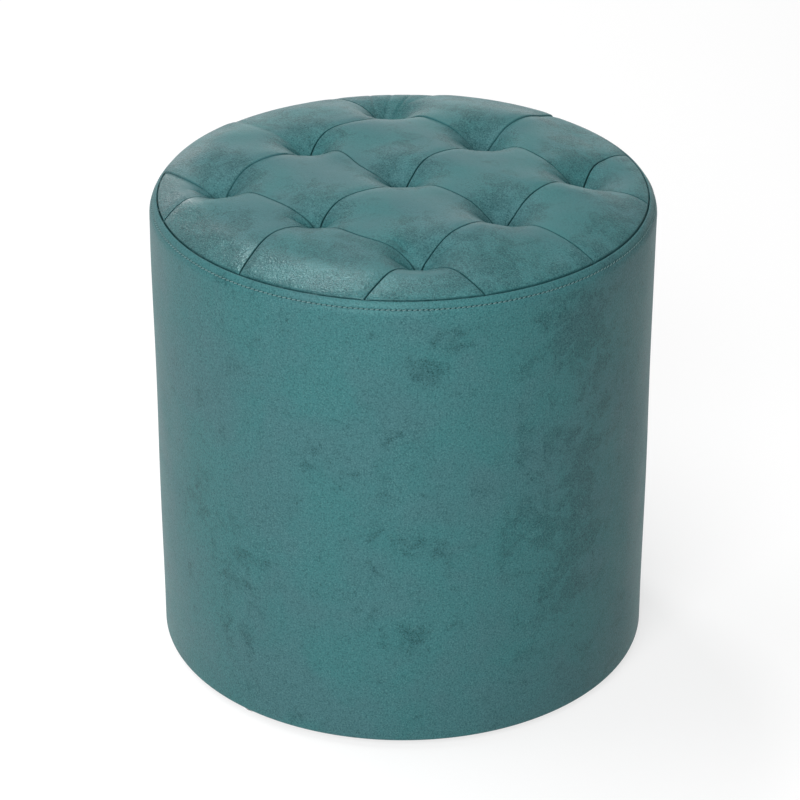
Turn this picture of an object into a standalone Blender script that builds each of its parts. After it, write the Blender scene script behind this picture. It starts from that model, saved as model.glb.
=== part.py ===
"""Round tufted pouf: a hardboard drum on four posts, padded, covered in faux leather.

Metres, +Z up. The origin is the centre of the footprint on the floor. X and Y run along
the rows of tufts, and the side band is closed by one upright seam at the back, on +Y.
"""
import math

import bmesh
import bpy
from mathutils import Vector

# Cover
COVER_RADIUS = 0.200
LEATHER = 0.0012
HEM_WIDTH = 0.030
BOTTOM_EDGE_RADIUS = 0.005
SEAM_GAP = 0.0003
FIT_GAP = 0.0003

# Padding
SIDE_FOAM = 0.005
PAD_THICKNESS = 0.050
CROWN_RISE = 0.0175
CROWN_POWER = 6

# Tufts: a smooth dip round each one, and a narrow funnel where the cord pulls
TUFT_SPACING_SHARE = 0.5
TUFT_SPACING = COVER_RADIUS * TUFT_SPACING_SHARE
TUFT_ROWS = 3
DIP_DEPTH = 0.0153
DIP_WIDTH = 0.0218
FUNNEL_DEPTH = 0.009
FUNNEL_WIDTH = 0.005
SLOPE_STEP = 0.0001

# Tuft cords, their channels and washers
CORD_RADIUS = 0.0012
CORD_TAIL = 0.003
KNOT_RADIUS = 0.0035
CHANNEL_RADIUS = 0.003
WASHER_RADIUS = 0.015
WASHER_THICKNESS = 0.002
WASHER_CHAMFER = 0.0005

# Frame
WALL = 0.003
WALL_JOINT = 0.0005
FOAM_JOINT = 0.0005
BOARD = 0.012
POST_WIDTH = 0.030
POST_LENGTH = 0.325
POST_CHAMFER = 0.002

# Screws, countersunk into the boards and run into the posts' ends
SCREW_RADIUS = 0.002
SCREW_HEAD_RADIUS = 0.004
SCREW_HEAD_HEIGHT = 0.0025
SCREW_LENGTH = 0.035
SCREW_TIP = 0.004

# Underside
DUST_COVER = 0.0006
DUST_COVER_MARGIN = 0.009
GLIDE_HEIGHT = 0.0057
GLIDE_RADIUS = 0.011
GLIDE_INSET = 0.006
GLIDE_FOOT_RADIUS = 0.008
GLIDE_EDGE_HEIGHT = 0.0025
NAIL_RADIUS = 0.0012
NAIL_LENGTH = 0.014
NAIL_TIP = 0.002

# Cutters run past the faces that they open by this much, and turned points this near are one
OVERRUN = 0.002
MERGE_DISTANCE = 0.00001

# Facets
SEGMENTS = 60
SHOULDER_STEPS = 4
EDGE_STEPS = 3
CELL_STEPS = 8
RIM_STEPS = 6
GLIDE_SIDES = 20
WASHER_SIDES = 16
SCREW_SIDES = 10
CORD_SIDES = 8
KNOT_STEPS = 4
CLUSTER_SHARE = 0.05
SMOOTH_ANGLE = math.radians(35)

# Heights, stacked up from the floor
DUST_COVER_Z = GLIDE_HEIGHT + FIT_GAP
COVER_Z = DUST_COVER_Z + DUST_COVER + FIT_GAP
BASE_Z = COVER_Z + LEATHER + FIT_GAP
POST_Z = BASE_Z + BOARD + FIT_GAP
SEAT_Z = POST_Z + POST_LENGTH + FIT_GAP
PAD_Z = SEAT_Z + BOARD + FIT_GAP
CROWN_Z = PAD_Z + PAD_THICKNESS + FIT_GAP + LEATHER
RIM_Z = CROWN_Z - CROWN_RISE

# Radii, from the cover inwards
SIDE_FOAM_RADIUS = COVER_RADIUS - LEATHER - FIT_GAP
WALL_RADIUS = SIDE_FOAM_RADIUS - SIDE_FOAM - FIT_GAP
BOARD_RADIUS = WALL_RADIUS - WALL - FIT_GAP
DUST_COVER_RADIUS = COVER_RADIUS - DUST_COVER_MARGIN
GLIDE_PLACE = COVER_RADIUS - GLIDE_INSET - GLIDE_RADIUS

# The rim seam lies over the pad's edge, and the shoulder below it runs on from the crown
SEAM_RADIUS = WALL_RADIUS
SEAM_SLOPE_SHARE = CROWN_POWER * CROWN_RISE / SEAM_RADIUS
SEAM_ANGLE = math.atan2(1, SEAM_SLOPE_SHARE)
SHOULDER_RADIUS = (COVER_RADIUS - SEAM_RADIUS) / (1 - math.cos(SEAM_ANGLE))
SHOULDER_CENTRE = COVER_RADIUS - SHOULDER_RADIUS
SHOULDER_Z = RIM_Z - SHOULDER_RADIUS * math.sin(SEAM_ANGLE)

# The four sides that carry a post, a glide and two screws each
SIDES = {"right": 0.0, "back": math.pi / 2, "left": math.pi, "front": -math.pi / 2}

# Colours are linear, roughness and metal are plain values
FINISHES = {
    "leather_side": ((0.055, 0.165, 0.165), 0.55, 0.0),
    "leather_top": ((0.075, 0.205, 0.205), 0.50, 0.0),
    "foam": ((0.80, 0.76, 0.62), 0.90, 0.0),
    "plywood": ((0.55, 0.38, 0.22), 0.65, 0.0),
    "hardboard": ((0.26, 0.15, 0.08), 0.60, 0.0),
    "softwood": ((0.62, 0.46, 0.28), 0.65, 0.0),
    "zinc_steel": ((0.62, 0.60, 0.52), 0.35, 1.0),
    "twine": ((0.78, 0.76, 0.70), 0.80, 0.0),
    "washer_plastic": ((0.10, 0.10, 0.10), 0.45, 0.0),
    "non_woven": ((0.015, 0.015, 0.017), 0.90, 0.0),
    "clear_plastic": ((0.75, 0.78, 0.78), 0.15, 0.0),
}


def clear_scene():
    """Removes whatever the scene holds."""
    for obj in list(bpy.data.objects):
        bpy.data.objects.remove(obj, do_unlink=True)


def material(name, finish):
    """A Principled material of its own for one piece."""
    colour, roughness, metal = FINISHES[finish]
    mat = bpy.data.materials.new(name)
    mat.use_nodes = True
    shader = mat.node_tree.nodes["Principled BSDF"]
    shader.inputs["Base Color"].default_value = (*colour, 1.0)
    shader.inputs["Roughness"].default_value = roughness
    shader.inputs["Metallic"].default_value = metal
    return mat


def piece(name, bm, finish, smooth=True):
    """Turns a finished bmesh into a named object with outward faces."""
    bmesh.ops.recalc_face_normals(bm, faces=bm.faces)
    mesh = bpy.data.meshes.new(name)
    bm.to_mesh(mesh)
    bm.free()
    mesh.materials.append(material(name, finish))
    if smooth:
        mesh.shade_smooth()
        mesh.set_sharp_from_angle(angle=SMOOTH_ANGLE)
    obj = bpy.data.objects.new(name, mesh)
    bpy.context.scene.collection.objects.link(obj)
    return obj


def as_cutter(obj):
    """Marks an object as a cutting tool, which isn't part of the pouf."""
    obj.hide_render = True
    obj.display_type = "WIRE"
    return obj


def cut(target, *cutters):
    """Cuts the pieces of each cutter out of a target."""
    for cutter in cutters:
        boolean = target.modifiers.new(cutter.name, "BOOLEAN")
        boolean.operation = "DIFFERENCE"
        boolean.solver = "EXACT"
        boolean.object = cutter


def flats(radius, sides):
    """Corner radius of a polygon whose flats, not its corners, lie at a radius."""
    return radius / math.cos(math.pi / sides)


def polar(radius, angle):
    """Plan point at a radius and angle."""
    return radius * math.cos(angle), radius * math.sin(angle)


def arc(centre, radius, start, end, steps):
    """Profile points along an arc, both ends included."""
    turn = (end - start) / steps
    return [
        (centre[0] + radius * math.cos(start + turn * i), centre[1] + radius * math.sin(start + turn * i))
        for i in range(steps + 1)
    ]


def spun(bm, profile, sides, place=(0, 0)):
    """Adds a closed body turned round an upright axis; its profile starts and ends on the axis."""
    before = set(bm.verts)
    verts = [bm.verts.new((radius, 0, height)) for radius, height in profile]
    edges = [bm.edges.new(pair) for pair in zip(verts, verts[1:])]
    bmesh.ops.spin(
        bm, geom=verts + edges, cent=(0, 0, 0), axis=(0, 0, 1), angle=2 * math.pi, steps=sides, use_merge=True
    )
    made = [vert for vert in bm.verts if vert not in before]
    bmesh.ops.remove_doubles(bm, verts=made, dist=MERGE_DISTANCE)
    made = [vert for vert in bm.verts if vert not in before]
    bmesh.ops.translate(bm, verts=made, vec=(place[0], place[1], 0))


def disc(bm, radius, bottom, top, sides, place=(0, 0)):
    """Adds a plain upright disc or rod between two heights."""
    centre = Vector((place[0], place[1], bottom))
    made = bmesh.ops.create_circle(bm, cap_ends=True, segments=sides, radius=radius)
    bmesh.ops.translate(bm, verts=made["verts"], vec=centre)
    face = made["verts"][0].link_faces[0]
    lifted = bmesh.ops.extrude_face_region(bm, geom=[face], use_keep_orig=True)
    verts = [v for v in lifted["geom"] if isinstance(v, bmesh.types.BMVert)]
    bmesh.ops.translate(bm, verts=verts, vec=(0, 0, top - bottom))


def wrapped(name, profile, joint, finish):
    """A sheet wrapped round the drum from a closed profile, with its butt joint at the back."""
    bm = bmesh.new()
    outside = max(radius for radius, height in profile)
    half = joint / 2 / outside
    verts = [bm.verts.new((*polar(radius, math.pi / 2 + half), height)) for radius, height in profile]
    face = bm.faces.new(verts)
    bmesh.ops.spin(
        bm, geom=[face], cent=(0, 0, 0), axis=(0, 0, 1), angle=2 * math.pi - 2 * half, steps=SEGMENTS
    )
    return piece(name, bm, finish)


def tuft_places():
    """Row, column and plan place of each tuft."""
    middle = (TUFT_ROWS - 1) / 2
    return [
        (row + 1, column + 1, (column - middle) * TUFT_SPACING, (row - middle) * TUFT_SPACING)
        for row in range(TUFT_ROWS)
        for column in range(TUFT_ROWS)
    ]


def crown(x, y):
    """Height of the cover's outside over a plan point."""
    share = math.hypot(x, y) / SEAM_RADIUS
    height = RIM_Z + CROWN_RISE * (1 - share ** CROWN_POWER)
    for row, column, tuft_x, tuft_y in tuft_places():
        away = math.hypot(x - tuft_x, y - tuft_y)
        height -= DIP_DEPTH * math.exp(-((away / DIP_WIDTH) ** 2))
        height -= FUNNEL_DEPTH * math.exp(-away / FUNNEL_WIDTH)
    return height


def below_crown(x, y, depth):
    """Height of a layer that lies a depth below the cover's outside, measured square to it."""
    across = (crown(x + SLOPE_STEP, y) - crown(x - SLOPE_STEP, y)) / SLOPE_STEP / 2
    along = (crown(x, y + SLOPE_STEP) - crown(x, y - SLOPE_STEP)) / SLOPE_STEP / 2
    return crown(x, y) - depth * math.sqrt(1 + across * across + along * along)


def clustered(steps):
    """Shares from 0 to 1, closer together at both ends, where the tufts pull."""
    return [i / steps - CLUSTER_SHARE * math.sin(2 * math.pi * i / steps) for i in range(steps + 1)]


def square_patch(x0, x1, y0, y1):
    """Grid of plan points of a patch between four tufts."""
    return [[(x0 + (x1 - x0) * u, y0 + (y1 - y0) * v) for u in clustered(CELL_STEPS)] for v in clustered(CELL_STEPS)]


def edge_patch(x0, x1, y0, side, turned):
    """Grid of plan points of a patch from a row of tufts out to the rim, on one side of the top."""
    rows = []
    for v in clustered(RIM_STEPS):
        row = []
        for u in clustered(CELL_STEPS):
            x = x0 + (x1 - x0) * u
            rim = math.sqrt(SEAM_RADIUS ** 2 - x * x)
            y = side * (y0 + (rim - y0) * v)
            row.append((y, x) if turned else (x, y))
        rows.append(row)
    return rows


def corner_patch(corner, side_x, side_y):
    """Grid of plan points of a corner patch, fanned from its tuft out to the rim."""
    start = math.asin(corner / SEAM_RADIUS)
    end = math.pi / 2 - start
    rows = []
    for v in clustered(RIM_STEPS):
        row = []
        for i in range(RIM_STEPS + 1):
            rim_x, rim_y = polar(SEAM_RADIUS, start + (end - start) * i / RIM_STEPS)
            row.append((side_x * (corner + (rim_x - corner) * v), side_y * (corner + (rim_y - corner) * v)))
        rows.append(row)
    return rows


def patch_grid(row, column):
    """Plan grid of one of the top's patches, counted from the front left."""
    last = TUFT_ROWS
    lines = [(i - 1 - (TUFT_ROWS - 1) / 2) * TUFT_SPACING for i in range(TUFT_ROWS + 2)]
    outer = lines[TUFT_ROWS]
    side_x = -1 if column == 0 else 1
    side_y = -1 if row == 0 else 1
    if row in (0, last) and column in (0, last):
        return corner_patch(outer, side_x, side_y)
    if row in (0, last):
        return edge_patch(lines[column], lines[column + 1], outer, side_y, False)
    if column in (0, last):
        return edge_patch(lines[row], lines[row + 1], outer, side_x, True)
    return square_patch(lines[column], lines[column + 1], lines[row], lines[row + 1])


def plan_key(x, y):
    """Whole steps to a plan point, the same for two points that are one."""
    return round(x / MERGE_DISTANCE), round(y / MERGE_DISTANCE)


def grid_faces(grid):
    """Triangles of a plan grid as runs of plan points; a corner patch's first row is one point."""
    faces = []
    for low, high in zip(grid, grid[1:]):
        for a, b, c, d in zip(low, low[1:], high[1:], high):
            faces += [(a, b, c), (a, c, d)]
    return [face for face in faces if len({plan_key(x, y) for x, y in face}) == 3]


def sheet(bm, faces, height):
    """Adds a surface over plan triangles, with one vertex for each plan point."""
    verts = {}
    made = []
    for face in faces:
        corners = []
        for x, y in face:
            key = plan_key(x, y)
            if key not in verts:
                verts[key] = bm.verts.new((x, y, height(x, y)))
            corners.append(verts[key])
        made.append(bm.faces.new(corners))
    return made


def build_top_patch(row, column):
    """One sewn patch of the top: a leather shell that follows the tufted pad."""
    grid = patch_grid(row, column)
    points = [point for line in grid for point in line]
    middle = Vector((sum(x for x, y in points), sum(y for x, y in points))) / len(points)
    bm = bmesh.new()
    faces = sheet(bm, grid_faces(grid), crown)
    under = bmesh.ops.extrude_face_region(bm, geom=faces, use_keep_orig=True)
    for vert in [v for v in under["geom"] if isinstance(v, bmesh.types.BMVert)]:
        vert.co.z = below_crown(vert.co.x, vert.co.y, LEATHER)
    lines = [place[2] for place in tuft_places()]
    for vert in bm.verts:
        if math.hypot(vert.co.x, vert.co.y) > SEAM_RADIUS - SEAM_GAP / 2:
            vert.co.xy *= 1 - SEAM_GAP / 2 / SEAM_RADIUS
        for axis in (0, 1):
            for line in lines:
                if abs(vert.co[axis] - line) < SEAM_GAP / 2:
                    vert.co[axis] = line + math.copysign(SEAM_GAP / 2, middle[axis] - line)
    return piece(f"top_patch_{row + 1}_{column + 1}", bm, "leather_top")


def build_top():
    """The sixteen patches of the tufted top."""
    for row in range(TUFT_ROWS + 1):
        for column in range(TUFT_ROWS + 1):
            build_top_patch(row, column)


def build_foam_pad():
    """The seat pad, crowned and pulled down at its nine punched tuft channels."""
    bm = bmesh.new()
    depth = LEATHER + FIT_GAP
    faces = []
    for row in range(TUFT_ROWS + 1):
        for column in range(TUFT_ROWS + 1):
            faces += grid_faces(patch_grid(row, column))
    sheet(bm, faces, lambda x, y: below_crown(x, y, depth))
    rim = [edge for edge in bm.edges if edge.is_boundary]
    skirt = bmesh.ops.extrude_edge_only(bm, edges=rim)
    low = [v for v in skirt["geom"] if isinstance(v, bmesh.types.BMVert)]
    for vert in low:
        vert.co.z = PAD_Z
    bottom = [e for e in skirt["geom"] if isinstance(e, bmesh.types.BMEdge) and e.is_boundary]
    bmesh.ops.edgeloop_fill(bm, edges=bottom)
    pad = piece("foam_pad", bm, "foam")
    channels = bmesh.new()
    for row, column, x, y in tuft_places():
        disc(channels, CHANNEL_RADIUS, PAD_Z - OVERRUN, CROWN_Z, CORD_SIDES, (x, y))
    cut(pad, as_cutter(piece("pad_channel_cutter", channels, "foam")))


def shoulder(depth, end_radius):
    """Profile points of the rounded shoulder at a depth below the cover, up to the rim seam."""
    radius = SHOULDER_RADIUS - depth
    end = math.acos((end_radius - SHOULDER_CENTRE) / radius)
    return arc((SHOULDER_CENTRE, SHOULDER_Z), radius, 0, end, SHOULDER_STEPS)


def bottom_edge(depth):
    """Profile points of the rounded bottom edge at a depth inside the cover, from below to the side."""
    centre = (COVER_RADIUS - BOTTOM_EDGE_RADIUS, COVER_Z + BOTTOM_EDGE_RADIUS)
    return arc(centre, BOTTOM_EDGE_RADIUS - depth, -math.pi / 2, 0, EDGE_STEPS)


def build_side_band():
    """The side of the cover: a strip with its upright seam at the back and its hem turned under."""
    hem = COVER_RADIUS - HEM_WIDTH
    top = flats(SEAM_RADIUS + SEAM_GAP / 2, SEGMENTS)
    outside = [(hem, COVER_Z)] + bottom_edge(0) + shoulder(0, top)
    inside = [(hem, COVER_Z + LEATHER)] + bottom_edge(LEATHER) + shoulder(LEATHER, top)
    band = wrapped("side_band", outside + inside[::-1], SEAM_GAP, "leather_side")
    cut(band, as_cutter(nail_holes("hem_nail_cutter")))


def build_side_foam():
    """The thin foam sheet wrapped round the drum and the pad's edge."""
    depth = LEATHER + FIT_GAP
    inner = flats(WALL_RADIUS + FIT_GAP, SEGMENTS)
    profile = [(inner, BASE_Z)] + bottom_edge(depth) + shoulder(depth, inner)
    wrapped("side_foam", profile, FOAM_JOINT, "foam")


def build_drum_wall():
    """The bent hardboard wall, butted on the back post."""
    inner = WALL_RADIUS - WALL
    top = SEAT_Z + BOARD
    profile = [(inner, BASE_Z), (WALL_RADIUS, BASE_Z), (WALL_RADIUS, top), (inner, top)]
    wrapped("drum_wall", profile, WALL_JOINT, "hardboard")


def post_place(angle):
    """Plan centre of the post on one side, with its outer corners just inside the wall."""
    half = POST_WIDTH / 2
    return polar(math.sqrt(BOARD_RADIUS ** 2 - half ** 2) - half - FIT_GAP, angle)


def screw_profile(margin):
    """Profile of a countersunk screw from its head's top down, grown by a margin for its hole."""
    shank = SCREW_RADIUS + margin
    return [
        (0, margin),
        (SCREW_HEAD_RADIUS + margin, margin),
        (SCREW_HEAD_RADIUS + margin, 0),
        (shank, -SCREW_HEAD_HEIGHT - margin),
        (shank, -SCREW_LENGTH + SCREW_TIP),
        (0, -SCREW_LENGTH - margin),
    ]


def screw_body(bm, angle, head_z, down, margin):
    """Adds one screw, or its hole, at a post; its head lies flush at a height."""
    way = 1 if down else -1
    profile = [(radius, head_z + way * height) for radius, height in screw_profile(margin)]
    if margin == 0:
        profile = [profile[0]] + profile[2:]
    spun(bm, profile, SCREW_SIDES, post_place(angle))


def build_screws():
    """Two screws for each post, one through each board."""
    for side, angle in SIDES.items():
        for board, head_z, down in (("seat", SEAT_Z + BOARD, True), ("base", BASE_Z, False)):
            bm = bmesh.new()
            screw_body(bm, angle, head_z, down, 0)
            piece(f"{board}_screw_{side}", bm, "zinc_steel")


def screw_holes(name, head_z, down):
    """Cutter of the four screws through one board and into the posts."""
    bm = bmesh.new()
    for angle in SIDES.values():
        screw_body(bm, angle, head_z, down, FIT_GAP)
    return as_cutter(piece(name, bm, "zinc_steel"))


def build_posts(seat_cutter, base_cutter):
    """Four square posts with bevelled edges, drilled at both ends."""
    for side, angle in SIDES.items():
        x, y = post_place(angle)
        bm = bmesh.new()
        made = bmesh.ops.create_grid(bm, x_segments=1, y_segments=1, size=POST_WIDTH / 2)
        bmesh.ops.translate(bm, verts=made["verts"], vec=(x, y, POST_Z))
        lifted = bmesh.ops.extrude_face_region(bm, geom=bm.faces[:], use_keep_orig=True)
        verts = [v for v in lifted["geom"] if isinstance(v, bmesh.types.BMVert)]
        bmesh.ops.translate(bm, verts=verts, vec=(0, 0, POST_LENGTH))
        upright = [e for e in bm.edges if abs(e.verts[0].co.z - e.verts[1].co.z) > POST_LENGTH / 2]
        bmesh.ops.bevel(bm, geom=upright, offset=POST_CHAMFER, segments=1, affect="EDGES")
        cut(piece(f"post_{side}", bm, "softwood", smooth=False), seat_cutter, base_cutter)


def build_boards(seat_cutter, base_cutter):
    """The seat board with its tuft holes, and the base board that takes the glides' nails."""
    seat = bmesh.new()
    disc(seat, BOARD_RADIUS, SEAT_Z, SEAT_Z + BOARD, SEGMENTS)
    tuft_holes = bmesh.new()
    for row, column, x, y in tuft_places():
        disc(tuft_holes, CHANNEL_RADIUS, SEAT_Z - OVERRUN, SEAT_Z + BOARD + OVERRUN, CORD_SIDES, (x, y))
    tuft_cutter = as_cutter(piece("board_tuft_cutter", tuft_holes, "plywood"))
    cut(piece("seat_board", seat, "plywood", smooth=False), tuft_cutter, seat_cutter)
    base = bmesh.new()
    disc(base, BOARD_RADIUS, BASE_Z, BASE_Z + BOARD, SEGMENTS)
    cut(piece("base_board", base, "plywood", smooth=False), base_cutter, nail_holes("board_nail_cutter"))


def nail_holes(name):
    """Cutter of the four glides' nails, up into the base board."""
    bm = bmesh.new()
    top = GLIDE_HEIGHT + NAIL_LENGTH + FIT_GAP
    for angle in SIDES.values():
        place = polar(GLIDE_PLACE, angle)
        disc(bm, NAIL_RADIUS + FIT_GAP, GLIDE_HEIGHT - OVERRUN, top, CORD_SIDES, place)
    return as_cutter(piece(name, bm, "zinc_steel"))


def build_glides():
    """Four domed nail-on glides, each with its nail up into the base board."""
    profile = [
        (0, 0),
        (GLIDE_FOOT_RADIUS, 0),
        (GLIDE_RADIUS, GLIDE_EDGE_HEIGHT),
        (GLIDE_RADIUS, GLIDE_HEIGHT),
        (NAIL_RADIUS, GLIDE_HEIGHT),
        (NAIL_RADIUS, GLIDE_HEIGHT + NAIL_LENGTH - NAIL_TIP),
        (0, GLIDE_HEIGHT + NAIL_LENGTH),
    ]
    for side, angle in SIDES.items():
        bm = bmesh.new()
        spun(bm, profile, GLIDE_SIDES, polar(GLIDE_PLACE, angle))
        piece(f"glide_{side}", bm, "clear_plastic")


def build_dust_cover():
    """The non-woven sheet under the base, pierced by the glides' nails."""
    bm = bmesh.new()
    disc(bm, DUST_COVER_RADIUS, DUST_COVER_Z, DUST_COVER_Z + DUST_COVER, SEGMENTS)
    cut(piece("dust_cover", bm, "non_woven", smooth=False), nail_holes("dust_nail_cutter"))


def build_tuft_ties():
    """A cord for each tuft, from the patches' corners down to a knot under its washer."""
    washer_top = SEAT_Z - FIT_GAP
    washer_bottom = washer_top - WASHER_THICKNESS
    knot_top = washer_bottom - FIT_GAP
    knot_centre = (0, knot_top - KNOT_RADIUS)
    neck = math.asin(CORD_RADIUS / KNOT_RADIUS)
    knot = arc(knot_centre, KNOT_RADIUS, math.pi / 2 - neck, neck - math.pi / 2, KNOT_STEPS)
    tail_z = knot[-1][1] - CORD_TAIL
    for row, column, x, y in tuft_places():
        top = below_crown(x, y, LEATHER) - FIT_GAP
        cord = bmesh.new()
        profile = [(0, top), (CORD_RADIUS, top)] + knot + [(CORD_RADIUS, tail_z), (0, tail_z)]
        spun(cord, profile, CORD_SIDES, (x, y))
        piece(f"tuft_cord_{row}_{column}", cord, "twine")
        washer = bmesh.new()
        disc(washer, WASHER_RADIUS, washer_bottom, washer_top, WASHER_SIDES, (x, y))
        rims = [e for e in washer.edges if abs(e.verts[0].co.z - e.verts[1].co.z) < WASHER_CHAMFER]
        bmesh.ops.bevel(washer, geom=rims, offset=WASHER_CHAMFER, segments=1, affect="EDGES")
        hole = bmesh.new()
        bore = CORD_RADIUS + FIT_GAP
        disc(hole, bore, washer_bottom - OVERRUN, washer_top + OVERRUN, CORD_SIDES, (x, y))
        cutter = as_cutter(piece(f"washer_cutter_{row}_{column}", hole, "washer_plastic"))
        cut(piece(f"tuft_washer_{row}_{column}", washer, "washer_plastic", smooth=False), cutter)


def build_pouf():
    """Builds the pouf from the frame outwards."""
    clear_scene()
    seat_cutter = screw_holes("seat_screw_cutter", SEAT_Z + BOARD, True)
    base_cutter = screw_holes("base_screw_cutter", BASE_Z, False)
    build_boards(seat_cutter, base_cutter)
    build_posts(seat_cutter, base_cutter)
    build_screws()
    build_drum_wall()
    build_foam_pad()
    build_side_foam()
    build_tuft_ties()
    build_top()
    build_side_band()
    build_dust_cover()
    build_glides()


build_pouf()
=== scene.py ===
"""Looks of the round tufted pouf: faux leather sewn and tufted over a padded drum.

Every length is in metres, in the frame's own axes: +Z is up, the origin is the centre of the
footprint, the rows of tufts run along X and Y, and the side's upright seam is at the back, on +Y.
"""

import logging
import math
from dataclasses import dataclass, field
from enum import Enum
from typing import Callable, Iterable, Sequence

import bmesh
import bpy
import numpy as np
from mathutils import Matrix, Vector

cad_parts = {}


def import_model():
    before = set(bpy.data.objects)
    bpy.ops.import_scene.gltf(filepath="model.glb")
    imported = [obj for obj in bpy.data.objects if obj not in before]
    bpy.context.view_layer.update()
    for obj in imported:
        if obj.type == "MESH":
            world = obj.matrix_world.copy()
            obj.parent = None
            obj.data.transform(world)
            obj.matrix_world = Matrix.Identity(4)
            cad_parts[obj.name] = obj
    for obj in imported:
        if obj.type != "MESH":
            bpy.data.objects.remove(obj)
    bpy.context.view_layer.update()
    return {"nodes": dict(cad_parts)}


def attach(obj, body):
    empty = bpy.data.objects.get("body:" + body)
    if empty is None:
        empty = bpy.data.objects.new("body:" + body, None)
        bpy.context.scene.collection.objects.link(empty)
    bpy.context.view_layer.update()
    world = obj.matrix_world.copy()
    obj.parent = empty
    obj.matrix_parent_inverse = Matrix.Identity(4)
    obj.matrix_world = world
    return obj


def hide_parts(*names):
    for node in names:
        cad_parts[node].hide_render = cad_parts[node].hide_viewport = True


LOG = logging.getLogger("pouf")

Socket = bpy.types.NodeSocket
Material = bpy.types.Material
Piece = bpy.types.Object
Grid = np.ndarray
Colour = tuple[float, float, float]
Point = tuple[float, float, float]
Range = tuple[float, float]
Plan = tuple[Grid, Grid]
Tuft = tuple[int, int, float, float]

BODY = "root"
FLOOR = "studio_floor"
WHITE: Colour = (1.0, 1.0, 1.0)
MM = 0.001
SIDES: dict[str, float] = {
    "right": 0.0,
    "back": math.pi / 2,
    "left": math.pi,
    "front": -math.pi / 2,
}


def bell(away: Grid, reach: float) -> Grid:
    """A smooth hill: 1 at its middle, and faded out past its reach."""
    return np.exp(-((away / reach) ** 2))


def ring(away: Grid, reach: float) -> Grid:
    """A smooth ring: 0 at its middle, 1 at its reach, and faded out past that."""
    return (away / reach) ** 2 * np.exp(1 - (away / reach) ** 2)


def ease_in_out(share: Grid) -> Grid:
    """A share from 0 to 1, eased at both ends."""
    return share ** 2 * (3 - 2 * share)


def disc_grid(steps: int, radius: float) -> Plan:
    """Square grid drawn out to a disc.

    Args:
        steps: Steps across.
        radius: Radius of the disc.

    Returns:
        The grid.
    """
    a, b = np.meshgrid(*[np.linspace(-1, 1, steps + 1)] * 2)
    return radius * a * np.sqrt(1 - b ** 2 / 2), radius * b * np.sqrt(1 - a ** 2 / 2)


def spun(radius: Grid, turn: Grid, height: Grid) -> Grid:
    """Points at some radii, angles and heights, each broadcast to the others."""
    return np.stack(np.broadcast_arrays(radius * np.cos(turn), radius * np.sin(turn), height), -1)


class Slot(Enum):
    """Names of the record's material slots."""

    LEATHER_SIDE = "leather_side"
    LEATHER_TOP = "leather_top"
    PAD_FOAM = "pad_foam"
    SIDE_FOAM = "side_foam"
    STEEL = "zinc_steel"
    NON_WOVEN = "non_woven"
    CLEAR_PLASTIC = "clear_plastic"


@dataclass(frozen=True)
class PoufSizes:
    """Sizes of the pouf that several of its sub-assemblies share."""

    cover_radius: float = 0.200
    seam_radius: float = 0.1932
    shoulder_radius: float = 0.0130
    bottom_edge_radius: float = 0.0025
    cover_z: float = 0.0069
    rim_z: float = 0.3923
    pad_z: float = 0.3583
    base_z: float = 0.0084
    dust_cover_z: float = 0.0060
    leather: float = 0.0012
    seam_gap: float = 0.0005
    tuft_spacing: float = 0.100
    hem_width: float = 0.030

    @property
    def shoulder_centre(self) -> float:
        """Radius at which the rounded shoulder has its centre."""
        return self.cover_radius - self.shoulder_radius

    @property
    def seam_angle(self) -> float:
        """Angle of the shoulder's arc at the rim seam, above level."""
        return math.acos((self.seam_radius - self.shoulder_centre) / self.shoulder_radius)

    @property
    def shoulder_z(self) -> float:
        """Height at which the side becomes straight."""
        return self.rim_z - self.shoulder_radius * math.sin(self.seam_angle)

    @property
    def seam_lines(self) -> tuple[float, ...]:
        """Places of the top's straight seams, on either axis."""
        return tuple(step * self.tuft_spacing for step in (-1, 0, 1))

    def rolled(self, off: Grid, width: float) -> Grid:
        """How far the leather has rolled down by a seam: 1 at the seam, 0 past the roll."""
        near = np.clip(1 - (off - self.seam_gap / 2) / width, 0, 1)
        return 1 - np.sqrt(1 - near ** 2)


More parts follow.
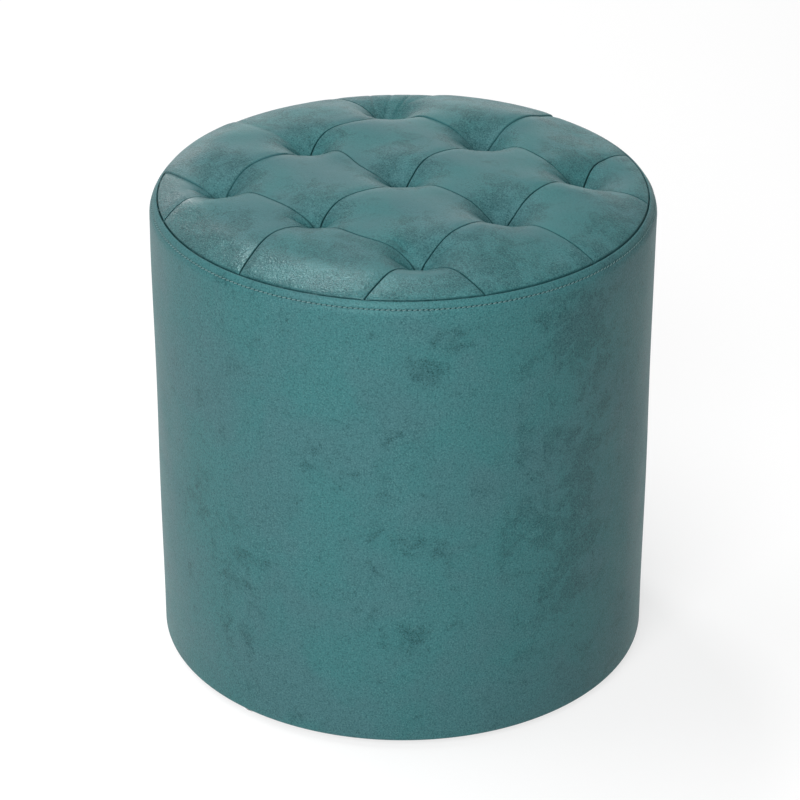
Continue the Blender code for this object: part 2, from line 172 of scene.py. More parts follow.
class NodeSketch:
    """A node tree that is drawn node by node."""

    def __init__(self, tree: bpy.types.NodeTree) -> None:
        """Starts on a tree.

        Args:
            tree: The tree.
        """
        self.tree = tree

    def node(self, kind: str, **settings: object) -> bpy.types.Node:
        """Adds a node.

        Args:
            kind: Type name of the node.
            settings: Attributes to set on it.

        Returns:
            The new node.
        """
        made = self.tree.nodes.new(kind)
        for name, value in settings.items():
            setattr(made, name, value)
        return made

    def feed(self, socket: Socket, value: object) -> None:
        """Links an output to a socket, or sets a plain value on it.

        Args:
            socket: The input.
            value: An output socket, a number or a colour.
        """
        if isinstance(value, Socket):
            self.tree.links.new(value, socket)
        elif isinstance(value, tuple) and len(value) == 3 and socket.type == "RGBA":
            socket.default_value = (*value, 1.0)
        else:
            socket.default_value = value

    def math(self, operation: str, first: object, second: object = 0.0) -> Socket:
        """Does a sum.

        Args:
            operation: Blender's name of it.
            first: First value.
            second: Second value.

        Returns:
            The result.
        """
        made = self.node("ShaderNodeMath", operation=operation)
        self.feed(made.inputs[0], first)
        self.feed(made.inputs[1], second)
        return made.outputs[0]

    def cast(self, kind: str, **sockets: object) -> Socket:
        """Adds a plain shader.

        Args:
            kind: Type name of the node.
            sockets: Values by socket name.

        Returns:
            Its output.
        """
        made = self.node(kind)
        for name, value in sockets.items():
            self.feed(made.inputs[name], value)
        return made.outputs[0]

    def either(self, share: object, first: object, second: object) -> Socket:
        """Mixes two shaders.

        Args:
            share: Share of the second shader.
            first: First shader.
            second: Second shader.

        Returns:
            The mixed shader.
        """
        made = self.node("ShaderNodeMixShader")
        for socket, value in zip(made.inputs, (share, first, second)):
            self.feed(socket, value)
        return made.outputs[0]


class ShaderSketch(NodeSketch):
    """A material that is drawn node by node."""

    def __init__(self, name: str) -> None:
        """Starts a material with its Principled shader.

        Args:
            name: Name of the material.
        """
        self.material = bpy.data.materials.new(name)
        self.material.use_nodes = True
        super().__init__(self.material.node_tree)
        self.shader = self.tree.nodes["Principled BSDF"]

    def place(self, stretch: Point = (1.0, 1.0, 1.0), turn: Point = (0.0, 0.0, 0.0)) -> Socket:
        """Object coordinates, stretched and turned for a pattern.

        Args:
            stretch: Scale of the pattern along each axis.
            turn: Rotation of the pattern, in radians.

        Returns:
            The coordinates.
        """
        source = self.node("ShaderNodeTexCoord").outputs["Object"]
        mapping = self.node("ShaderNodeMapping")
        self.feed(mapping.inputs["Vector"], source)
        mapping.inputs["Scale"].default_value = stretch
        mapping.inputs["Rotation"].default_value = turn
        return mapping.outputs["Vector"]

    def noise(
        self,
        place: Socket,
        size: float,
        detail: float = 3.0,
        roughness: float = 0.5,
        distortion: float = 0.0,
    ) -> Socket:
        """A noise from 0 to 1 whose blobs are about a given size.

        Args:
            place: Coordinates that it reads.
            size: Width of a blob.
            detail: Number of finer layers.
            roughness: Strength of the finer layers.
            distortion: How far it is swirled.

        Returns:
            The noise.
        """
        made = self.node("ShaderNodeTexNoise")
        self.feed(made.inputs["Vector"], place)
        names = ("Scale", "Detail", "Roughness", "Distortion")
        for name, value in zip(names, (1 / size, detail, roughness, distortion)):
            made.inputs[name].default_value = value
        return made.outputs[0]

    def cells(self, place: Socket, size: float, edges: bool) -> Socket:
        """Voronoi cells of about a given size.

        Args:
            place: Coordinates that it reads.
            size: Width of a cell.
            edges: Whether to give the distance to the cell's edge, and not to its middle.

        Returns:
            The distance.
        """
        made = self.node("ShaderNodeTexVoronoi", feature="DISTANCE_TO_EDGE" if edges else "F1")
        self.feed(made.inputs["Vector"], place)
        made.inputs["Scale"].default_value = 1 / size
        return made.outputs["Distance"]

    def band(
        self, value: object, low: float, high: float, start: float = 0.0, end: float = 1.0
    ) -> Socket:
        """Maps a range of a value smoothly to another.

        Args:
            value: The value.
            low: Where it gives start.
            high: Where it gives end.
            start: Result at low.
            end: Result at high.

        Returns:
            The mapped value.
        """
        made = self.node("ShaderNodeMapRange", interpolation_type="SMOOTHSTEP")
        self.feed(made.inputs["Value"], value)
        names = ("From Min", "From Max", "To Min", "To Max")
        for name, number in zip(names, (low, high, start, end)):
            made.inputs[name].default_value = number
        return made.outputs["Result"]

    def times(self, first: object, second: object) -> Socket:
        """Multiplies two values."""
        return self.math("MULTIPLY", first, second)

    def inverse(self, value: object) -> Socket:
        """One less a value."""
        return self.math("SUBTRACT", 1.0, value)

    def length(self, first: object, second: object) -> Socket:
        """Length of a slanting line from its two square parts."""
        squares = [self.times(part, part) for part in (first, second)]
        return self.math("SQRT", self.math("ADD", *squares))

    def parts(self, vector: Socket) -> bpy.types.bpy_prop_collection:
        """The three parts of a vector."""
        made = self.node("ShaderNodeSeparateXYZ")
        self.feed(made.inputs[0], vector)
        return made.outputs

    def blend(self, share: object, first: object, second: object) -> Socket:
        """Mixes two colours.

        Args:
            share: Share of the second colour.
            first: First colour.
            second: Second colour.

        Returns:
            The mixed colour.
        """
        made = self.node("ShaderNodeMix", data_type="RGBA")
        self.feed(made.inputs[0], share)
        self.feed(made.inputs[6], first)
        self.feed(made.inputs[7], second)
        return made.outputs[2]

    def own(self, name: str) -> Socket:
        """Reads a value that the piece's own points carry."""
        return self.node("ShaderNodeAttribute", attribute_name=name).outputs["Fac"]

    def relief(
        self, height: object, depth: float, strength: object = 1.0, under: object = None
    ) -> Socket:
        """A bump from a height.

        Args:
            height: Height from 0 to 1.
            depth: Real depth of the full height.
            strength: Share of the bump that counts.
            under: Normal of a coarser bump to lie on.

        Returns:
            The normal.
        """
        made = self.node("ShaderNodeBump")
        self.feed(made.inputs["Strength"], strength)
        made.inputs["Distance"].default_value = depth
        self.feed(made.inputs["Height"], height)
        if under is not None:
            self.feed(made.inputs["Normal"], under)
        return made.outputs["Normal"]

    def finish(self, **sockets: object) -> Material:
        """Feeds the shader's sockets and closes the material.

        Args:
            sockets: Values by socket name, with spaces written as underscores.

        Returns:
            The material.
        """
        for name, value in sockets.items():
            self.feed(self.shader.inputs[name.replace("_", " ")], value)
        return self.material


@dataclass(frozen=True)
class LeatherFinish:
    """Distressed faux leather: a teal coat, softly clouded greyer, finely speckled and crackled.

    Attributes:
        cloud_band: Part of the cloud noise that goes from teal to grey, and so for each band.
        wear_and_shade_push: How far a worn place, and a place of painted shade, brings the stain
            on.
        dark_shares: Strength of the dark specks off and on a stain.
        light_shares: Strength of the light specks on plain and on mottled leather.
        painted_glint_boost: How many times stronger the light specks are where it is polished, as
            painted glints.
        crackle_fade: Shares of a cell over which a stain grows back beside a line.
        slope: Point value that says how steep the leather lies, and so for the next three.
        flat_share: How far the grain, and the painted grain shade of its specks, still stand on
            level leather.
    """

    name: str
    teal: Colour = (0.048, 0.182, 0.190)
    grey: Colour = (0.070, 0.160, 0.180)
    deep: Colour = (0.008, 0.050, 0.056)
    pale: Colour = (0.130, 0.310, 0.320)
    cloud_size: float = 0.070
    cloud_band: Range = (0.36, 0.66)
    cloud_share: float = 0.60
    mottle_size: float = 0.055
    mottle_band: Range = (0.40, 0.72)
    smudge_size: float = 0.017
    stain_band: Range = (0.55, 0.78)
    stain_share: float = 0.46
    wear_and_shade_push: float = 0.24
    dark_size: float = 0.0013
    dark_band: Range = (0.46, 0.66)
    dark_shares: Range = (0.48, 0.85)
    light_size: float = 0.00104
    light_band: Range = (0.48, 0.68)
    light_shares: Range = (0.34, 0.44)
    painted_glint_boost: float = 1.5
    crackle_size: float = 0.0065
    crackle_line: float = 0.09
    crackle_share: float = 0.28
    crackle_fade: Range = (0.02, 0.16)
    crackle_stain: float = 0.60
    crackle_depth: float = 0.00010
    dry_size: float = 0.063
    dry_band: Range = (0.56, 0.70)
    grain_size: float = 0.0016
    swell_size: float = 0.0096
    grain_depth: float = 0.00048
    roughness: float = 0.54
    polished: float = 0.20
    roughness_spread: float = 0.05
    specular: float = 0.30
    specular_tint: Colour = (0.60, 1.0, 1.0)
    sheen: float = 0.02
    sheen_roughness: float = 0.45
    sheen_tint: Colour = (0.36, 0.84, 0.88)
    slope: str = "slope"
    edge: str = "edge"
    wear_and_shade: str = "wear_and_shade"
    polish: str = "polish"
    # Share of the deep colour at the sewn edges: painted seam shade.
    seam_shade_share: float = 0.85
    flat_share: float = 0.30

    def grain_and_shade(self, sketch: ShaderSketch) -> Socket:
        """How far the grain, and the painted grain shade of its specks, still stand: least on the
        level parts.
        """
        return sketch.band(sketch.own(self.slope), 0.0, 1.0, self.flat_share, 1.0)

    def stains(self, sketch: ShaderSketch, place: Socket) -> Socket:
        """Where the leather is stained, the more so where its point value adds wear and painted
        shade.
        """
        smudge = sketch.noise(place, self.smudge_size, detail=5.0, roughness=0.62, distortion=0.5)
        wear_and_shade = sketch.times(sketch.own(self.wear_and_shade), self.wear_and_shade_push)
        return sketch.band(sketch.math("ADD", smudge, wear_and_shade), *self.stain_band)

    def rims(self, sketch: ShaderSketch, place: Socket) -> Socket:
        """Distance from the crackle's wavy lines, in shares of a cell."""
        bent = sketch.node("ShaderNodeVectorMath", operation="MULTIPLY_ADD")
        wave = sketch.noise(place, self.crackle_size * 2, detail=3.0, roughness=0.6)
        for socket, value in zip(bent.inputs, (wave, (self.crackle_size,) * 3, place)):
            sketch.feed(socket, value)
        return sketch.cells(bent.outputs[0], self.crackle_size, True)

    def tone(
        self, sketch: ShaderSketch, place: Socket, grain_and_shade: object, edge: Socket
    ) -> tuple[Socket, ...]:
        """Draws the coat's colour, with its painted shade and painted glints.

        Args:
            sketch: The material.
            place: Coordinates.
            grain_and_shade: How far the grain still stands, and how strong the painted grain shade
                of its specks is.
            edge: Where the leather is turned into a seam, and so darkened as painted seam shade.

        Returns:
            The colour, the share of mottled leather and the crackle's lines.
        """
        clouds = sketch.noise(place, self.cloud_size, detail=3.0, roughness=0.55, distortion=0.3)
        cloud = sketch.band(clouds, *self.cloud_band)
        mottles = sketch.noise(place, self.mottle_size, detail=4.0, roughness=0.6, distortion=0.4)
        mottle = sketch.band(mottles, *self.mottle_band)
        stain, rims = self.stains(sketch, place), self.rims(sketch, place)
        specks = sketch.noise(place, self.dark_size, detail=2.0, roughness=0.55)
        dark = sketch.times(
            sketch.band(specks, *self.dark_band), sketch.band(stain, 0.0, 1.0, *self.dark_shares)
        )
        flecks = sketch.noise(place, self.light_size, detail=2.0, roughness=0.55)
        light = sketch.times(
            sketch.band(flecks, *self.light_band), sketch.band(mottle, 0.0, 1.0, *self.light_shares)
        )
        # Painted shade and glints: the specks fade on level leather and grow on slopes, standing in
        # for the grain's shade, and the light specks grow where it is polished, as painted glints.
        painted_light = sketch.band(sketch.own(self.polish), 0.0, 1.0, 1.0, self.painted_glint_boost)
        dark, light = sketch.times(dark, grain_and_shade), sketch.times(light, sketch.times(grain_and_shade, painted_light))
        dry = sketch.band(
            sketch.noise(place, self.dry_size, detail=3.0, roughness=0.6), *self.dry_band
        )
        lines = sketch.band(rims, 0.0, self.crackle_line, 1.0, 0.0)
        crackle = sketch.times(lines, sketch.times(dry, self.crackle_share))
        stain = sketch.times(stain, sketch.band(rims, *self.crackle_fade, self.crackle_stain, 1.0))
        ground = sketch.blend(sketch.times(cloud, self.cloud_share), self.teal, self.grey)
        dulled = sketch.blend(sketch.times(stain, self.stain_share), ground, self.deep)
        lit = sketch.blend(light, sketch.blend(dark, dulled, self.deep), self.pale)
        # Painted seam shade: the colour goes to the deep colour at the sewn edges.
        turned = sketch.blend(sketch.times(edge, self.seam_shade_share), lit, self.deep)
        return sketch.blend(crackle, turned, self.deep), mottle, crackle

    def grain(
        self, sketch: ShaderSketch, place: Socket, crackle: Socket, grain_and_shade: object
    ) -> Socket:
        """Draws the coat's relief.

        Args:
            sketch: The material.
            place: Coordinates.
            crackle: The crackle's lines.
            grain_and_shade: How far the grain still stands.

        Returns:
            The normal.
        """
        swell = sketch.noise(place, self.swell_size, detail=3.0, roughness=0.5)
        broad = sketch.relief(swell, self.grain_depth, strength=0.35)
        sunk = sketch.relief(sketch.inverse(crackle), self.crackle_depth, strength=0.8, under=broad)
        pebbles = sketch.noise(place, self.grain_size, detail=2.0, roughness=0.6)
        return sketch.relief(pebbles, self.grain_depth, sketch.times(grain_and_shade, 0.9), under=sunk)

    def shade(
        self, sketch: ShaderSketch, colour: Socket, mottle: Socket, normal: Socket
    ) -> Material:
        """Feeds the shader.

        Args:
            sketch: The material.
            colour: The coat's colour.
            mottle: The share of mottled leather.
            normal: The coat's relief.

        Returns:
            The material.
        """
        plain = sketch.band(sketch.own(self.polish), 0.0, 1.0, self.roughness, self.polished)
        return sketch.finish(
            Base_Color=colour,
            Roughness=sketch.math("ADD", plain, sketch.times(mottle, self.roughness_spread)),
            Specular_IOR_Level=self.specular,
            Specular_Tint=self.specular_tint,
            Sheen_Weight=self.sheen,
            Sheen_Roughness=self.sheen_roughness,
            Sheen_Tint=self.sheen_tint,
            Normal=normal,
        )

    def material(self) -> Material:
        """Returns the leather's material."""
        sketch = ShaderSketch(self.name)
        place, grain_and_shade = sketch.place(), self.grain_and_shade(sketch)
        colour, mottle, crackle = self.tone(sketch, place, grain_and_shade, sketch.own(self.edge))
        return self.shade(sketch, colour, mottle, self.grain(sketch, place, crackle, grain_and_shade))


@dataclass(frozen=True)
class StitchedLeatherFinish(LeatherFinish):
    """The same leather on the side, its topstitch's needle holes drawn as painted shade on the
    piece's own map.
    """

    hole_shade: Colour = (0.010, 0.045, 0.050)
    hole_length: float = 0.17
    hole_height: float = 0.0006
    hole_depth: float = 0.0003
    hole_fade: Range = (0.55, 1.25)
    seam_rise: float = 0.0064
    seam_shade_width: float = 0.0007

    def material(self) -> Material:
        """Returns the leather's material, with sunk dots of painted shade where the topstitch goes
        in, and painted seam shade along its sewn top edge.
        """
        sketch = ShaderSketch(self.name)
        place = sketch.place()
        parts = sketch.parts(sketch.node("ShaderNodeUVMap", uv_map="stitching").outputs[0])
        # Painted seam shade along the strip's top edge, where it is sewn to the top.
        edge = sketch.band(parts[1], -self.seam_rise, self.seam_shade_width - self.seam_rise, 1.0, 0.0)
        colour, mottle, crackle = self.tone(sketch, place, 1.0, edge)
        # Painted shade: dark dots at the needle holes.
        across = sketch.math("DIVIDE", sketch.math("PINGPONG", parts[0], 0.5), self.hole_length)
        up = sketch.math("DIVIDE", parts[1], self.hole_height)
        dot = sketch.band(sketch.length(across, up), *self.hole_fade, 1.0, 0.0)
        grain = self.grain(sketch, place, crackle, 1.0)
        sunk = sketch.relief(sketch.inverse(dot), self.hole_depth, under=grain)
        return self.shade(sketch, sketch.blend(dot, colour, self.hole_shade), mottle, sunk)


@dataclass(frozen=True)
class FoamFinish:
    """Open-cell upholstery foam, a little yellowed."""

    name: str
    light: Colour = (0.80, 0.76, 0.62)
    dark: Colour = (0.66, 0.58, 0.40)
    cell_size: float = 0.0018

    def material(self) -> Material:
        """Returns the foam's material."""
        sketch = ShaderSketch(self.name)
        place = sketch.place()
        pores = sketch.cells(place, self.cell_size, False)
        stain = sketch.band(sketch.noise(place, 0.06, detail=3.0), 0.35, 0.75)
        colour = sketch.blend(sketch.times(stain, 0.5), self.light, self.dark)
        return sketch.finish(
            Base_Color=sketch.blend(sketch.band(pores, 0.0, 0.35, 0.45, 0.0), colour, self.dark),
            Roughness=0.92,
            Normal=sketch.relief(pores, 0.0004, 0.8),
        )


@dataclass(frozen=True)
class PlywoodFinish:
    """Plywood: long grain on the faces, and light and dark plies on the cut edge."""

    name: str
    light: Colour = (0.60, 0.43, 0.25)
    dark: Colour = (0.38, 0.23, 0.12)
    ply: float = 0.0024

    def material(self) -> Material:
        """Returns the plywood's material."""
        sketch = ShaderSketch(self.name)
        along, fibre = sketch.place((0.12, 1.0, 1.0)), sketch.place((0.05, 1.0, 1.0))
        grain = sketch.noise(along, 0.006, detail=5.0, roughness=0.65, distortion=0.5)
        fibres = sketch.noise(fibre, 0.0012, detail=3.0, roughness=0.7)
        layers = sketch.math("PINGPONG", sketch.parts(sketch.place())[2], self.ply)
        plies = sketch.band(layers, self.ply * 0.42, self.ply * 0.58)
        wood = sketch.blend(sketch.band(grain, 0.35, 0.70), self.light, self.dark)
        return sketch.finish(
            Base_Color=sketch.blend(sketch.times(plies, 0.45), wood, self.dark),
            Roughness=sketch.band(fibres, 0.3, 0.7, 0.55, 0.75),
            Normal=sketch.relief(fibres, 0.0002, 0.5),
        )


@dataclass(frozen=True)
class SoftwoodFinish:
    """Planed softwood with its grain along Z."""

    name: str
    light: Colour = (0.66, 0.49, 0.29)
    dark: Colour = (0.45, 0.27, 0.12)

    def material(self) -> Material:
        """Returns the softwood's material."""
        sketch = ShaderSketch(self.name)
        along, fibre = sketch.place((1.0, 1.0, 0.06)), sketch.place((1.0, 1.0, 0.03))
        rings = sketch.noise(along, 0.007, detail=2.0, roughness=0.4, distortion=1.2)
        fibres = sketch.noise(fibre, 0.0011, detail=3.0, roughness=0.7)
        late = sketch.band(sketch.math("PINGPONG", rings, 0.09), 0.02, 0.085)
        return sketch.finish(
            Base_Color=sketch.blend(sketch.times(late, 0.7), self.light, self.dark),
            Roughness=sketch.band(fibres, 0.3, 0.7, 0.55, 0.72),
            Normal=sketch.relief(fibres, 0.00015, 0.5),
        )


@dataclass(frozen=True)
class SpeckledFinish:
    """A plain solid material with fine flecks, such as pressed fibre, moulded plastic or zinc."""

    name: str
    light: Colour
    dark: Colour
    fleck: float
    roughness: float
    metal: float = 0.0
    depth: float = 0.0001

    def material(self) -> Material:
        """Returns the flecked material."""
        sketch = ShaderSketch(self.name)
        flecks = sketch.noise(
            sketch.place(), self.fleck, detail=5.0, roughness=0.65, distortion=0.3
        )
        return sketch.finish(
            Base_Color=sketch.blend(sketch.band(flecks, 0.35, 0.68), self.light, self.dark),
            Roughness=sketch.band(flecks, 0.3, 0.7, self.roughness, self.roughness + 0.15),
            Metallic=self.metal,
            Normal=sketch.relief(flecks, self.depth, 0.5),
        )


@dataclass(frozen=True)
class TwistedFinish:
    """Twisted yarn: slanting light and dark strands."""

    name: str
    light: Colour
    dark: Colour
    strand: float
    roughness: float = 0.7

    def material(self) -> Material:
        """Returns the yarn's material."""
        sketch = ShaderSketch(self.name)
        wave = sketch.node("ShaderNodeTexWave", wave_type="BANDS", bands_direction="DIAGONAL")
        sketch.feed(wave.inputs["Vector"], sketch.place())
        wave.inputs["Scale"].default_value = 1 / self.strand
        wave.inputs["Distortion"].default_value = 0.6
        return sketch.finish(
            Base_Color=sketch.blend(wave.outputs["Fac"], self.dark, self.light),
            Roughness=self.roughness,
            Normal=sketch.relief(wave.outputs["Fac"], 0.0002, 0.7),
        )


@dataclass(frozen=True)
class NonWovenFinish:
    """Black spun-bonded fabric with its grid of pressed dots."""

    name: str
    light: Colour = (0.022, 0.022, 0.024)
    dark: Colour = (0.008, 0.008, 0.009)
    dot_pitch: float = 0.0022

    def material(self) -> Material:
        """Returns the fabric's material."""
        sketch = ShaderSketch(self.name)
        parts = sketch.parts(sketch.place(turn=(0.0, 0.0, math.pi / 4)))
        rows = [sketch.math("PINGPONG", parts[axis], self.dot_pitch / 2) for axis in (0, 1)]
        rim = (self.dot_pitch * 0.16, self.dot_pitch * 0.30)
        dots = sketch.band(sketch.length(*rows), *rim, 1.0, 0.0)
        along = sketch.place((1.0, 0.2, 1.0))
        fibres = sketch.noise(along, 0.0009, detail=4.0, roughness=0.7, distortion=1.5)
        pressed = sketch.relief(sketch.inverse(dots), 0.0002, strength=0.8)
        return sketch.finish(
            Base_Color=sketch.blend(sketch.band(fibres, 0.35, 0.65), self.dark, self.light),
            Roughness=sketch.band(dots, 0.0, 1.0, 0.85, 0.45),
            Normal=sketch.relief(fibres, 0.0002, 0.6, pressed),
        )


@dataclass(frozen=True)
class ClearPlasticFinish:
    """Clear moulded plastic, faintly clouded and scuffed."""

    name: str
    colour: Colour = (0.90, 0.94, 0.94)

    def material(self) -> Material:
        """Returns the plastic's material."""
        sketch = ShaderSketch(self.name)
        scuffs = sketch.noise(sketch.place(), 0.0015, detail=4.0, roughness=0.6)
        return sketch.finish(
            Base_Color=self.colour,
            Roughness=sketch.band(scuffs, 0.35, 0.70, 0.12, 0.30),
            Transmission_Weight=0.85,
            IOR=1.49,
            Normal=sketch.relief(scuffs, 0.00005, 0.3),
        )


class Bench:
    """Work that every sub-assembly needs: selecting, shaping, copying and handing over a piece."""

    @staticmethod
    def clear() -> None:
        """Deselects everything."""
        bpy.ops.object.select_all(action="DESELECT")

    @staticmethod
    def only(obj: Piece) -> None:
        """Selects one object and makes it active."""
        Bench.clear()
        obj.select_set(True)
        bpy.context.view_layer.objects.active = obj

    @staticmethod
    def pick(obj: Piece, kind: str, test: Callable[[object], bool]) -> None:
        """Selects a mesh's own vertices, edges or faces by a test, in edit mode.

        Args:
            obj: The active object, in edit mode.
            kind: VERT, EDGE or FACE.
            test: Says which to select.
        """
        bpy.ops.mesh.select_mode(type=kind)
        bpy.ops.mesh.select_all(action="DESELECT")
        mesh = bmesh.from_edit_mesh(obj.data)
        for part in {"VERT": mesh.verts, "EDGE": mesh.edges, "FACE": mesh.faces}[kind]:
            part.select = bool(test(part))
        mesh.select_flush_mode()
        bmesh.update_edit_mesh(obj.data)

    @staticmethod
    def modify(obj: Piece, kind: str, **settings: object) -> None:
        """Adds a modifier and applies it.

        Args:
            obj: The piece.
            kind: Type of the modifier.
            settings: Its settings.
        """
        Bench.only(obj)
        made = obj.modifiers.new(kind.lower(), kind)
        for name, value in settings.items():
            setattr(made, name, value)
        bpy.ops.object.modifier_apply(modifier=made.name)

    @staticmethod
    def add(name: str, data: bpy.types.ID) -> Piece:
        """Puts a new object in the scene."""
        obj = bpy.data.objects.new(name, data)
        bpy.context.scene.collection.objects.link(obj)
        return obj

    @staticmethod
    def surface(name: str, points: Grid, flip: bool = False) -> Piece:
        """Makes an object from a grid of points.

        Args:
            name: Name of the object.
            points: Rows by columns by three.
            flip: Whether its faces look the other way.

        Returns:
            The object.
        """
        rows, columns = points.shape[:2]
        index = np.arange(rows * columns).reshape(rows, columns)
        corners = (index[:-1, :-1], index[:-1, 1:], index[1:, 1:], index[1:, :-1])
        quads = np.stack(corners, -1).reshape(-1, 4)
        if flip:
            quads = quads[:, ::-1]
        mesh = bpy.data.meshes.new(name)
        mesh.from_pydata(points.reshape(-1, 3).tolist(), [], quads.tolist())
        mesh.update()
        return Bench.add(name, mesh)

    @staticmethod
    def cylinder(
        sides: int,
        radius: float,
        depth: float,
        place: Point = (0.0, 0.0, 0.0),
        turn: Point = (0.0, 0.0, 0.0),
    ) -> Piece:
        """Adds a cylinder, upright unless it is turned.

        Args:
            sides: Number of its sides.
            radius: Its radius.
            depth: Its height.
            place: Its middle.
            turn: Its rotation, in radians.

        Returns:
            The cylinder.
        """
        Bench.clear()
        bpy.ops.mesh.primitive_cylinder_add(
            vertices=sides, radius=radius, depth=depth, location=place, rotation=turn
        )
        return bpy.context.object

    @staticmethod
    def mark(obj: Piece, name: str, values: Grid) -> None:
        """Gives each point of an object a value that its material reads."""
        obj.data.attributes.new(name, "FLOAT", "POINT").data.foreach_set("value", values.ravel())

    @staticmethod
    def repeat(name: str, model: Piece, places: Iterable[Matrix]) -> Piece:
        """Copies a model to each place and joins the copies into one piece.

        Args:
            name: Name of the piece.
            model: The model, which is removed at the end.
            places: Where each copy goes.

        Returns:
            The piece.
        """
        copies = []
        for place in places:
            copies.append(Bench.add(name, model.data.copy()))
            copies[-1].data.transform(place)
        bpy.data.objects.remove(model, do_unlink=True)
        Bench.only(copies[0])
        for copy in copies:
            copy.select_set(True)
        bpy.ops.object.join()
        copies[0].name = name
        return copies[0]

    @staticmethod
    def settle(obj: Piece) -> None:
        """Moves an object's place, turn and scale into its mesh."""
        Bench.only(obj)
        bpy.ops.object.transform_apply(location=True, rotation=True, scale=True)

    @staticmethod
    def smooth(obj: Piece, degrees: float = 40.0) -> None:
        """Shades an object smooth, apart from its sharp edges."""
        Bench.only(obj)
        bpy.ops.object.shade_smooth_by_angle(angle=math.radians(degrees))

    @staticmethod
    def thicken(obj: Piece, thickness: float) -> None:
        """Gives a surface its thickness, inwards, and shades it smooth."""
        Bench.modify(obj, "SOLIDIFY", thickness=thickness, offset=-1.0, use_even_offset=False)
        Bench.smooth(obj, 60.0)

    @staticmethod
    def extrude(rise: float) -> None:
        """Extrudes the selected faces upwards."""
        bpy.ops.mesh.extrude_region_move(TRANSFORM_OT_translate={"value": (0, 0, rise)})

    @staticmethod
    def hand_over(
        obj: Piece, material: Material, slot: Slot, stands_for: Sequence[str] = ()
    ) -> Piece:
        """Gives a finished piece its material and ties it to the frame.

        Args:
            obj: The piece.
            material: Its material.
            slot: The record's slot; not used.
            stands_for: CAD nodes that it replaces.

        Returns:
            The piece.
        """
        obj.data.materials.clear()
        obj.data.materials.append(material)
        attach(obj, BODY)
        if stands_for:
            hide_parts(*stands_for)
        LOG.info("%s: %d faces", obj.name, len(obj.data.polygons))
        return obj


@dataclass(frozen=True)
class Lamp:
    """A soft rectangular lamp that stands round the pouf and faces it.

    Attributes:
        name: Name of the lamp.
        azimuth: Direction that it stands in, in degrees from +X.
        elevation: Its height above level, in degrees.
        distance: How far it stands from its aim.
        width: Width of its panel.
        height: Height of its panel.
        power: Its power in watts.
        aim: Height of the point that it faces.
        only: The one object that it lights, or nothing for all.
    """

    name: str
    azimuth: float
    elevation: float
    distance: float
    width: float
    height: float
    power: float
    aim: float = 0.22
    only: str = ""

    def build(self) -> None:
        """Puts the lamp in the scene."""
        light = bpy.data.lights.new(self.name, "AREA")
        light.shape = "RECTANGLE"
        light.size = self.width
        light.size_y = self.height
        light.energy = self.power
        obj = Bench.add(self.name, light)
        turn, lift = math.radians(self.azimuth), math.radians(self.elevation)
        level = math.cos(lift)
        out = Vector((math.cos(turn) * level, math.sin(turn) * level, math.sin(lift)))
        place = Matrix.Translation(Vector((0, 0, self.aim)) + out * self.distance)
        obj.matrix_world = place @ out.to_track_quat("Z", "Y").to_matrix().to_4x4()
        if self.only:
            lit = bpy.data.collections.new(self.name)
            lit.objects.link(bpy.data.objects[self.only])
            obj.light_linking.receiver_collection = lit


